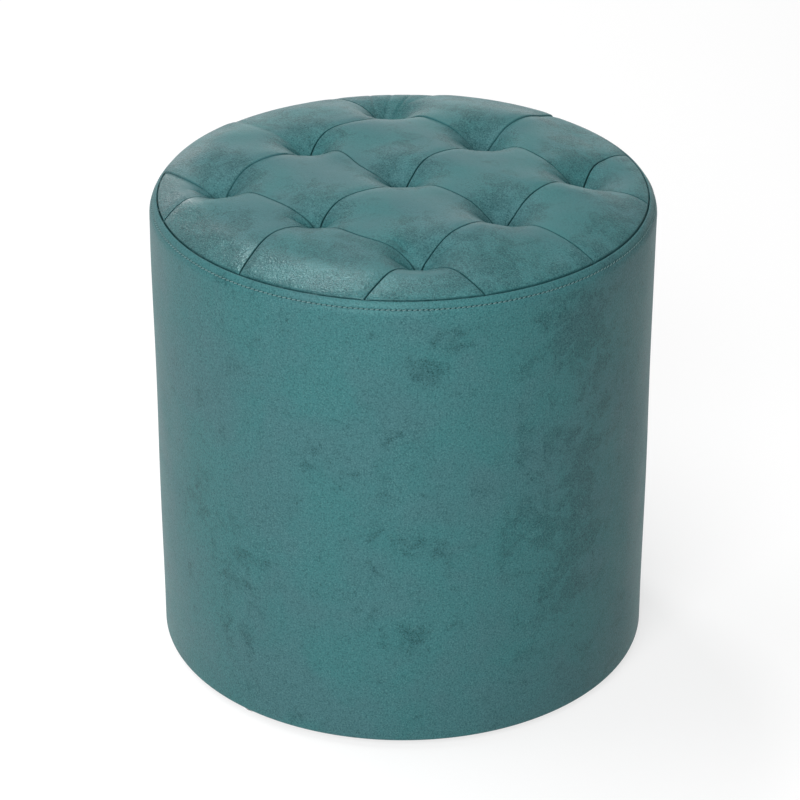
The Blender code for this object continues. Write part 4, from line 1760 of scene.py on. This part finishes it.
@dataclass
class SideCover:
    """The side's leather strip: sewn to the top, topstitched, seamed behind and turned under."""

    sizes: PoufSizes = field(default_factory=PoufSizes)
    finish: LeatherFinish = StitchedLeatherFinish("leather_side", roughness=0.47)
    thread: TwistedFinish = TwistedFinish(
        "topstitch_thread", (0.27, 0.44, 0.44), (0.13, 0.26, 0.27), 0.0004
    )
    stitches: int = 311
    columns_per_stitch: int = 2
    # Darker zones: some are worn patches, and some are painted shade on the side away from the key
    # lamp.
    zones: tuple[WearAndShadeZone, ...] = field(default_factory=wear_and_shade_zones)
    stitch_drop: float = 0.0067
    thread_radius: float = 0.00036
    thread_length: float = 0.80
    thread_slant: float = 0.28
    roll_width: float = 0.0010
    roll_depth: float = 0.0014
    rim_roll_depth: float = 0.0012
    rim_swell_width: float = 0.0036
    puff: float = 0.0003
    groove_depth: float = 0.00022
    groove_width: float = 0.0011
    dimple_depth: float = 0.00024
    dimple_width: float = 0.0012
    valley_depth: float = 0.0006
    valley_width: float = 0.005
    allowance: float = 0.0038
    side_step: float = 0.012
    pleat_count: int = 96
    pleat_height: float = 0.0003
    pleat_fade: float = 0.02
    uneven: float = 0.00022
    swells: tuple[Point, ...] = ((3, 9, 0), (5, -14, 1), (2, 31, 2))
    swell_start: float = 0.014
    swell_foot: float = 0.012
    swell_fade: float = 0.03

    def profile(self) -> Grid:
        """Profile of the leather's outside, from the rim seam down and under to the hem's end.

        Returns:
            Rows of radius, height, parts of the outward way on each, and length from the seam.
        """
        sizes = self.sizes
        fine = [0.0, 0.1, 0.25, 0.5, 0.8, 1.15, 1.6, 2.3, 3.2, 4.0, 4.6]
        near = [-1.5, -1.1, -0.8, -0.5, -0.25, 0.0, 0.25, 0.5, 0.8, 1.1, 1.6, 2.3, 3.2, 4.3, 5.3]
        arc = sizes.shoulder_radius * sizes.seam_angle
        rows = []
        marks = [sizes.seam_gap / 2 + mark * MM for mark in fine]
        marks += [self.stitch_drop + mark * MM for mark in near]
        for length in (*marks, arc):
            angle = sizes.seam_angle - length / sizes.shoulder_radius
            out, up = math.cos(angle), math.sin(angle)
            radius = sizes.shoulder_centre + sizes.shoulder_radius * out
            rows.append((radius, sizes.shoulder_z + sizes.shoulder_radius * up, out, up, length))
        low = sizes.cover_z + sizes.bottom_edge_radius
        steps = round((sizes.shoulder_z - low) / self.side_step)
        for z in np.linspace(sizes.shoulder_z, low, steps + 1)[1:]:
            rows.append((sizes.cover_radius, z, 1.0, 0.0, arc + sizes.shoulder_z - z))
        length = rows[-1][4]
        for turn in np.linspace(0, -math.pi / 2, 8)[1:]:
            out, up = math.cos(turn), math.sin(turn)
            radius = sizes.cover_radius - sizes.bottom_edge_radius * (1 - out)
            z = low + sizes.bottom_edge_radius * up
            rows.append((radius, z, out, up, length - sizes.bottom_edge_radius * turn))
        length, radius = rows[-1][4], rows[-1][0]
        for inward in np.linspace(0, radius - (sizes.cover_radius - sizes.hem_width), 8)[1:]:
            rows.append((radius - inward, sizes.cover_z, 0.0, -1.0, length + inward))
        return np.array(rows)

    def turns(self) -> Grid:
        """Angles of the columns, from one edge of the back seam round to the other."""
        half = self.sizes.seam_gap / 2 / self.sizes.cover_radius
        close = np.array([0.0, 0.15, 0.35, 0.65, 1.0, 1.4]) * MM / self.sizes.cover_radius + half
        count = self.stitches * self.columns_per_stitch
        plain = np.arange(1, count) * 2 * np.pi / count
        plain = plain[(plain > close[-1] * 1.3) & (plain < 2 * np.pi - close[-1] * 1.3)]
        return math.pi / 2 + np.concatenate([close, plain, 2 * np.pi - close[::-1]])

    def counted(self, turn: Grid) -> Grid:
        """How many stitches lie between the back seam and some angles."""
        return (turn - math.pi / 2) * self.stitches / (2 * np.pi)

    def relief(self, turn: Grid, rows: Grid) -> Grid:
        """How far the leather stands out from its plain profile.

        Args:
            turn: Angles of the columns.
            rows: The profile.

        Returns:
            Rows by columns of outward offsets.
        """
        length, level = rows[:, 4][:, None], rows[:, 1][:, None]
        from_stitch = length - self.stitch_drop
        out = self.puff * np.sin(np.pi * np.clip(length / self.stitch_drop, 0, 1))
        out = out - self.groove_depth * bell(from_stitch, self.groove_width)
        dimple = np.cos(np.pi * self.counted(turn)) ** 2 * bell(from_stitch, self.dimple_width)
        out = out - self.dimple_depth * dimple
        rim = (1 - self.sizes.rolled(length, self.roll_width)) * bell(length, self.rim_swell_width)
        out = out + self.rim_roll_depth * rim
        aside = (turn - math.pi / 2 + np.pi) % (2 * np.pi) - np.pi
        off = np.abs(aside) * self.sizes.cover_radius
        out = out - self.roll_depth * self.sizes.rolled(off, self.roll_width)
        out = out - self.valley_depth * bell(off, self.valley_width)
        fade = np.clip((length - self.swell_start) / self.swell_fade, 0, 1)
        fade = fade * np.clip((level - self.swell_foot) / self.swell_fade, 0, 1)
        swell = sum(np.sin(n * turn + rate * level + phase) for n, rate, phase in self.swells)
        return out + fade * self.uneven * swell

    def build_strip(self) -> Piece:
        """Builds the strip as a closed leather shell.

        Returns:
            The strip.
        """
        sizes, rows, turn = self.sizes, self.profile(), self.turns()
        out = self.relief(turn, rows)
        radius = rows[:, 0][:, None] + out * rows[:, 2][:, None]
        height = rows[:, 1][:, None] + out * rows[:, 3][:, None]
        inward = (sizes.cover_radius - sizes.bottom_edge_radius - rows[:, 0]) / self.pleat_fade
        under = np.where(rows[:, 3] < -0.5, np.clip(inward, 0, 1), 0.0)[:, None]
        height = height + under * self.pleat_height * (1 - np.cos(self.pleat_count * turn))
        points = spun(radius, turn, height)
        turned = points[:1].copy()
        turned[..., 2] -= self.allowance
        points = np.concatenate([turned, points])
        obj = Bench.surface("leather_side_strip", points, flip=True)
        level, around = points[..., 2], np.broadcast_to(turn, points.shape[:2])
        # Darker zones of worn patches and painted shade.
        wear_and_shade = np.sum([zone.wear_and_shade(around, level, sizes.cover_radius) for zone in self.zones], axis=0)
        Bench.mark(obj, self.finish.wear_and_shade, np.minimum(wear_and_shade, 1.0))
        marks = np.concatenate([[rows[0, 4] - self.allowance], rows[:, 4]]) - self.stitch_drop
        flat = np.stack(np.meshgrid(self.counted(turn), marks), -1).reshape(-1, 2)
        corners = np.array([loop.vertex_index for loop in obj.data.loops])
        layer = obj.data.uv_layers.new(name="stitching")
        layer.data.foreach_set("uv", flat[corners].ravel())
        Bench.thicken(obj, sizes.leather)
        return obj

    def build_stitch(self) -> Piece:
        """Builds one stitch along Y, bowed up between its two needle holes.

        Returns:
            The stitch.
        """
        length = 2 * math.pi * self.sizes.cover_radius / self.stitches * self.thread_length
        stitch = Bench.cylinder(6, self.thread_radius, length, turn=(math.pi / 2, 0.0, 0.0))
        Bench.settle(stitch)
        bpy.ops.object.mode_set(mode="EDIT")
        for share in (-0.33, 0.0, 0.33):
            bpy.ops.mesh.select_all(action="SELECT")
            bpy.ops.mesh.bisect(plane_co=(0, length * share, 0), plane_no=(0, 1, 0))
        Bench.pick(stitch, "VERT", lambda vert: abs(vert.co.y) > length * 0.45)
        sunk = (0, 0, -self.thread_radius * 2.0)
        bpy.ops.transform.translate(value=sunk)
        bpy.ops.transform.resize(value=(0.6, 1.0, 0.6), center_override=sunk)
        bpy.ops.object.mode_set(mode="OBJECT")
        Bench.smooth(stitch, 70.0)
        return stitch

    def build_topstitch(self) -> Piece:
        """Builds the row of topstitch round the shoulder.

        Returns:
            The row of stitches.
        """
        sizes = self.sizes
        angle = sizes.seam_angle - self.stitch_drop / sizes.shoulder_radius
        swell = self.rim_roll_depth * math.exp(-((self.stitch_drop / self.rim_swell_width) ** 2))
        sunk = swell - self.groove_depth - self.dimple_depth * 0.2 + self.thread_radius * 0.9
        reach = sizes.shoulder_radius + sunk
        radius = sizes.shoulder_centre + reach * math.cos(angle)
        height = sizes.shoulder_z + reach * math.sin(angle)
        tilt = Matrix.Rotation(math.pi / 2 - angle, 4, "Y")
        here = Matrix.Translation((radius, 0, height)) @ tilt
        here = here @ Matrix.Rotation(self.thread_slant, 4, "Z")
        places = []
        for count in range(self.stitches):
            turn = math.pi / 2 + (count + 0.5) * 2 * math.pi / self.stitches
            places.append(Matrix.Rotation(turn, 4, "Z") @ here)
        return Bench.repeat("topstitch", self.build_stitch(), places)

    def build(self) -> None:
        """Builds and dresses the side's leather and its thread."""
        leather = self.finish.material()
        strip = Bench.hand_over(self.build_strip(), leather, Slot.LEATHER_SIDE, ["side_band"])
        length = float(self.profile()[-1, 4]) + self.allowance
        Bench.hand_over(self.build_topstitch(), self.thread.material(), Slot.LEATHER_SIDE)


@dataclass
class Padding:
    """The crowned seat pad and the thin foam round the drum."""

    crown: Crown = field(default_factory=Crown)
    pad_finish: FoamFinish = FoamFinish("pad_foam")
    wrap_finish: FoamFinish = FoamFinish("side_foam", (0.84, 0.82, 0.76), (0.68, 0.64, 0.54))
    depth: float = 0.0026
    seam_groove: float = 0.0036
    seam_groove_width: float = 0.0032
    edge_start: float = 0.93
    edge_drop: float = 0.003
    channel_radius: float = 0.0024
    channel_length: float = 0.14
    channel_lift: float = 0.02
    pad_radius: float = 0.1929
    pad_steps: int = 130
    wrap_inner: float = 0.1936
    wrap_outer: float = 0.1983
    wrap_joint: float = 0.0006
    wrap_sink: float = 0.0032
    wrap_shift: float = 0.0008
    wrap_lift: float = 0.0004
    wrap_foot: tuple[Range, ...] = ((0.0030, 0.0), (0.0008, 0.0014))
    wrap_foot_height: float = 0.004
    wrap_ends: Range = (0.010, 0.002)
    wrap_columns: int = 241

    def build_pad(self) -> Piece:
        """Builds the seat pad with its tuft channels.

        Returns:
            The pad.
        """
        sizes = self.crown.sizes
        x, y = disc_grid(self.pad_steps, self.pad_radius)
        lines = sizes.seam_lines
        off = np.min([np.abs(place - line) for place in (x, y) for line in lines], axis=0)
        moved_x, moved_y = self.crown.warp(x, y)
        height = self.crown.height(moved_x, moved_y) - self.depth
        height = height - self.seam_groove * bell(off, self.seam_groove_width)
        share = np.hypot(x, y) / self.pad_radius
        edge = np.clip((share - self.edge_start) / (1 - self.edge_start), 0, 1)
        height = height - self.edge_drop * edge ** 2
        top = np.stack([moved_x, moved_y, height], -1)
        flat = np.stack([x, y, np.full_like(x, sizes.pad_z)], -1)
        obj = Bench.surface("seat_pad", top)
        base = Bench.surface("seat_pad_base", flat, flip=True)
        Bench.only(obj)
        base.select_set(True)
        bpy.ops.object.join()
        bpy.ops.object.mode_set(mode="EDIT")
        Bench.pick(obj, "EDGE", lambda edge: edge.is_boundary)
        bpy.ops.mesh.bridge_edge_loops(number_cuts=5)
        bpy.ops.mesh.select_all(action="SELECT")
        bpy.ops.mesh.normals_make_consistent(inside=False)
        bpy.ops.object.mode_set(mode="OBJECT")
        for *_, tuft_x, tuft_y in self.crown.tufts():
            place = (tuft_x, tuft_y, sizes.pad_z + self.channel_lift)
            punch = Bench.cylinder(16, self.channel_radius, self.channel_length, place)
            Bench.modify(obj, "BOOLEAN", operation="DIFFERENCE", solver="EXACT", object=punch)
            bpy.data.objects.remove(punch, do_unlink=True)
        Bench.smooth(obj, 50.0)
        return obj

    def build_wrap(self) -> Piece:
        """Builds the thin foam round the drum, butted at the back.

        Returns:
            The wrap.
        """
        sizes = self.crown.sizes
        arc = sizes.shoulder_radius - self.wrap_sink
        centre = sizes.shoulder_centre + self.wrap_shift
        start = math.acos((self.wrap_inner - sizes.shoulder_centre + self.wrap_shift) / arc)
        shoulder = [
            (centre + arc * math.cos(angle), sizes.shoulder_z + arc * math.sin(angle))
            for angle in np.linspace(0, start, 10)[1:]
        ]
        low, top = sizes.base_z + self.wrap_lift, shoulder[-1][1]
        outline = [(self.wrap_inner, low)]
        outline += [(self.wrap_outer - inward, low + up) for inward, up in self.wrap_foot]
        side = np.linspace(low + self.wrap_foot_height, sizes.shoulder_z, 12)
        outline += [(self.wrap_outer, z) for z in side]
        outline += shoulder
        inside = np.linspace(top - self.wrap_ends[1], low + self.wrap_ends[0], 8)
        outline += [(self.wrap_inner, z) for z in inside]
        outline.append(outline[0])
        half = self.wrap_joint / 2 / self.wrap_outer
        turn = math.pi / 2 + np.linspace(half, 2 * math.pi - half, self.wrap_columns)
        radius, height = np.array(outline).T[:, :, None]
        obj = Bench.surface("side_wrap", spun(radius, turn, height), flip=True)
        Bench.only(obj)
        bpy.ops.object.mode_set(mode="EDIT")
        bpy.ops.mesh.select_all(action="SELECT")
        bpy.ops.mesh.remove_doubles(threshold=1e-6)
        bpy.ops.mesh.select_all(action="SELECT")
        bpy.ops.mesh.fill_holes(sides=0)
        bpy.ops.mesh.select_all(action="SELECT")
        bpy.ops.mesh.normals_make_consistent(inside=False)
        bpy.ops.object.mode_set(mode="OBJECT")
        Bench.smooth(obj, 50.0)
        return obj

    def build(self) -> None:
        """Builds and dresses both foam pieces."""
        foam = self.pad_finish.material()
        pad = Bench.hand_over(self.build_pad(), foam, Slot.PAD_FOAM, ["foam_pad"])
        foam = self.wrap_finish.material()
        wrap = Bench.hand_over(self.build_wrap(), foam, Slot.SIDE_FOAM, ["side_foam"])


@dataclass
class Underside:
    """The dust cover, its staples and the four nail-on glides."""

    sizes: PoufSizes = field(default_factory=PoufSizes)
    fabric: NonWovenFinish = NonWovenFinish("non_woven")
    steel: SpeckledFinish = SpeckledFinish(
        "staple_steel", (0.62, 0.62, 0.60), (0.42, 0.42, 0.41), 0.0012, 0.30, 1.0
    )
    plastic: ClearPlasticFinish = ClearPlasticFinish("clear_plastic")
    fabric_radius: float = 0.191
    fabric_thickness: float = 0.0004
    fabric_steps: int = 96
    fabric_lift: float = 0.00015
    ripple_start: float = 0.12
    ripple_height: float = 0.00012
    sag: float = 0.0012
    staple_count: int = 28
    staple_radius: float = 0.1865
    staple_length: float = 0.0100
    staple_wire: float = 0.0006
    staple_leg: float = 0.0080
    staple_slant: float = 0.12
    glide_place: float = 0.183
    glide_height: float = 0.0057
    glide_radius: float = 0.011
    glide_foot: float = 0.0030
    glide_edge: float = 0.0004
    recess_radius: float = 0.0048
    recess_depth: float = 0.0016
    recess_taper: float = 0.88
    nail_head: float = 0.0036
    nail_head_depth: float = 0.0008
    nail_head_edge: float = 0.0002
    nail_radius: float = 0.0012
    nail_length: float = 0.0140
    nail_tip: float = 0.002
    nail_tip_share: float = 0.15
    nail_gap: float = 0.00005

    def build_fabric(self) -> Piece:
        """Builds the stretched dust cover with the slight pull of its staples.

        Returns:
            The dust cover.
        """
        x, y = disc_grid(self.fabric_steps, self.fabric_radius)
        away, turn = np.hypot(x, y), np.arctan2(y, x)
        span = self.fabric_radius - self.ripple_start
        near = np.clip((away - self.ripple_start) / span, 0, 1) ** 2
        ripple = self.ripple_height * near * np.cos(self.staple_count * turn)
        sag = self.sag * (1 - (away / self.fabric_radius) ** 2)
        height = self.sizes.dust_cover_z + self.fabric_lift + ripple - sag
        obj = Bench.surface("dust_cover_cloth", np.stack([x, y, height], -1), flip=True)
        Bench.thicken(obj, self.fabric_thickness)
        return obj

    def build_staple(self) -> Piece:
        """Builds one staple along Y, its crown down and its legs up.

        Returns:
            The staple.
        """
        wire, length = self.staple_wire, self.staple_length
        Bench.clear()
        bpy.ops.mesh.primitive_cube_add(size=1.0, location=(0, 0, wire / 2))
        staple = bpy.context.object
        staple.scale = (wire * 1.8, length, wire)
        Bench.settle(staple)
        bpy.ops.object.mode_set(mode="EDIT")
        for side in (-1, 1):
            bpy.ops.mesh.select_all(action="SELECT")
            bpy.ops.mesh.bisect(plane_co=(0, side * (length / 2 - wire), 0), plane_no=(0, 1, 0))
        foot = length / 2 - wire
        Bench.pick(
            staple,
            "FACE",
            lambda face: face.normal.z > 0.9 and abs(face.calc_center_median().y) > foot,
        )
        Bench.extrude(self.staple_leg)
        bpy.ops.object.mode_set(mode="OBJECT")
        Bench.modify(staple, "BEVEL", width=wire * 0.3, segments=2)
        Bench.smooth(staple)
        return staple

    def build_staples(self) -> Piece:
        """Builds the ring of staples that holds the dust cover.

        Returns:
            The staples.
        """
        places = []
        lift = self.sizes.dust_cover_z - self.staple_wire - self.fabric_thickness
        here = Matrix.Translation((self.staple_radius, 0, lift))
        for count in range(self.staple_count):
            turn = (count + 0.5) * 2 * math.pi / self.staple_count
            slant = self.staple_slant * math.sin(5 * count)
            places.append(Matrix.Rotation(turn, 4, "Z") @ here @ Matrix.Rotation(slant, 4, "Z"))
        return Bench.repeat("dust_cover_staples", self.build_staple(), places)

    def build_glide(self, side: str, angle: float) -> Piece:
        """Builds one domed glide with the recess for its nail's head.

        Args:
            side: Name of the side it is on.
            angle: Where it is.

        Returns:
            The glide.
        """
        x, y = self.glide_place * math.cos(angle), self.glide_place * math.sin(angle)
        top = self.glide_height
        glide = Bench.cylinder(72, self.glide_radius, top, (x, y, top / 2))
        glide.name = f"nail_glide_{side}"
        Bench.settle(glide)
        bpy.ops.object.mode_set(mode="EDIT")
        Bench.pick(glide, "FACE", lambda face: face.normal.z < -0.9)
        bpy.ops.mesh.inset(thickness=self.glide_radius - self.recess_radius, depth=0)
        Bench.extrude(self.recess_depth)
        taper = (self.recess_taper, self.recess_taper, 1.0)
        bpy.ops.transform.resize(value=taper, center_override=(x, y, self.recess_depth))
        outer = self.glide_radius * 0.95

        def at_foot(edge: bmesh.types.BMEdge) -> bool:
            """Says whether an edge is on the foot's outer rim."""
            return all(
                abs(vert.co.z) < 1e-5 and math.hypot(vert.co.x - x, vert.co.y - y) > outer
                for vert in edge.verts
            )

        def at_top(edge: bmesh.types.BMEdge) -> bool:
            """Says whether an edge is at the glide's top."""
            return all(abs(vert.co.z - top) < 1e-5 for vert in edge.verts)

        Bench.pick(glide, "EDGE", at_foot)
        bpy.ops.mesh.bevel(offset=self.glide_foot, segments=7, affect="EDGES")
        Bench.pick(glide, "EDGE", at_top)
        bpy.ops.mesh.bevel(offset=self.glide_edge, segments=3, affect="EDGES")
        bpy.ops.object.mode_set(mode="OBJECT")
        Bench.smooth(glide, 35.0)
        return glide

    def build_nail(self, side: str, angle: float) -> Piece:
        """Builds the nail of one glide, its head in the recess and its point in the base board.

        Args:
            side: Name of the side it is on.
            angle: Where it is.

        Returns:
            The nail.
        """
        x, y = self.glide_place * math.cos(angle), self.glide_place * math.sin(angle)
        head = self.nail_head_depth
        low = self.recess_depth - head - self.nail_gap
        nail = Bench.cylinder(32, self.nail_head, head, (x, y, low + head / 2))
        nail.name = f"glide_nail_{side}"
        Bench.settle(nail)
        bpy.ops.object.mode_set(mode="EDIT")
        Bench.pick(nail, "FACE", lambda face: face.normal.z > 0.9)
        bpy.ops.mesh.inset(thickness=self.nail_head - self.nail_radius, depth=0)
        shank = self.glide_height + self.nail_length - self.nail_tip - low - head
        Bench.extrude(shank)
        Bench.extrude(self.nail_tip)
        taper = (self.nail_tip_share, self.nail_tip_share, 1.0)
        bpy.ops.transform.resize(value=taper, center_override=(x, y, low))
        outer = self.nail_head * 0.9

        def on_head(edge: bmesh.types.BMEdge) -> bool:
            """Says whether an edge is on the head's outer rim."""
            return all(
                vert.co.z < low + head * 1.01 and math.hypot(vert.co.x - x, vert.co.y - y) > outer
                for vert in edge.verts
            )

        Bench.pick(nail, "EDGE", on_head)
        bpy.ops.mesh.bevel(offset=self.nail_head_edge, segments=2, affect="EDGES")
        bpy.ops.object.mode_set(mode="OBJECT")
        Bench.smooth(nail, 35.0)
        return nail

    def build(self) -> None:
        """Builds and dresses all that the underside shows."""
        fabric = self.fabric.material()
        cloth = Bench.hand_over(self.build_fabric(), fabric, Slot.NON_WOVEN, ["dust_cover"])
        steel, plastic = self.steel.material(), self.plastic.material()
        Bench.hand_over(self.build_staples(), steel, Slot.STEEL)
        for side, angle in SIDES.items():
            glide = self.build_glide(side, angle)
            Bench.hand_over(glide, plastic, Slot.CLEAR_PLASTIC, [f"glide_{side}"])
            Bench.hand_over(self.build_nail(side, angle), steel, Slot.STEEL)


@dataclass
class InnerFrame:
    """The drum's hidden frame, whose solids stay and get their real finishes."""

    plywood: PlywoodFinish = PlywoodFinish("plywood")
    softwood: SoftwoodFinish = SoftwoodFinish("softwood")
    hardboard: SpeckledFinish = SpeckledFinish(
        "hardboard", (0.30, 0.18, 0.095), (0.20, 0.11, 0.055), 0.0030, 0.55
    )
    zinc: SpeckledFinish = SpeckledFinish(
        "zinc_steel", (0.68, 0.66, 0.58), (0.48, 0.46, 0.40), 0.0016, 0.30, 1.0
    )
    twine: TwistedFinish = TwistedFinish(
        "twine", (0.80, 0.78, 0.72), (0.55, 0.52, 0.45), 0.0016, 0.85
    )
    washer: SpeckledFinish = SpeckledFinish(
        "washer_plastic", (0.050, 0.050, 0.052), (0.030, 0.030, 0.032), 0.0009, 0.42
    )

    def dress(self, nodes: dict[str, Piece]) -> None:
        """Gives every carried-over solid its material.

        Args:
            nodes: The frame's solids by name.
        """
        finishes = (
            (("seat_board", "base_board"), self.plywood),
            (("post_",), self.softwood),
            (("drum_wall",), self.hardboard),
            (("seat_screw_", "base_screw_"), self.zinc),
            (("tuft_cord_",), self.twine),
            (("tuft_washer_",), self.washer),
        )
        for starts, finish in finishes:
            material = finish.material()
            for name, node in nodes.items():
                if name.startswith(starts):
                    for holder in node.material_slots:
                        holder.material = material
                    LOG.info("%s: %s", name, finish.name)


def main() -> None:
    """Builds the studio and every sub-assembly of the pouf over its frame."""
    logging.basicConfig(level=logging.INFO, format="%(name)s %(message)s")
    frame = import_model()
    Bench.clear()
    Studio().build()
    crown = Crown()
    TopCover(crown).build()
    SideCover().build()
    Padding(crown).build()
    Underside().build()
    InnerFrame().dress(frame["nodes"])


if __name__ == "__main__":
    main()
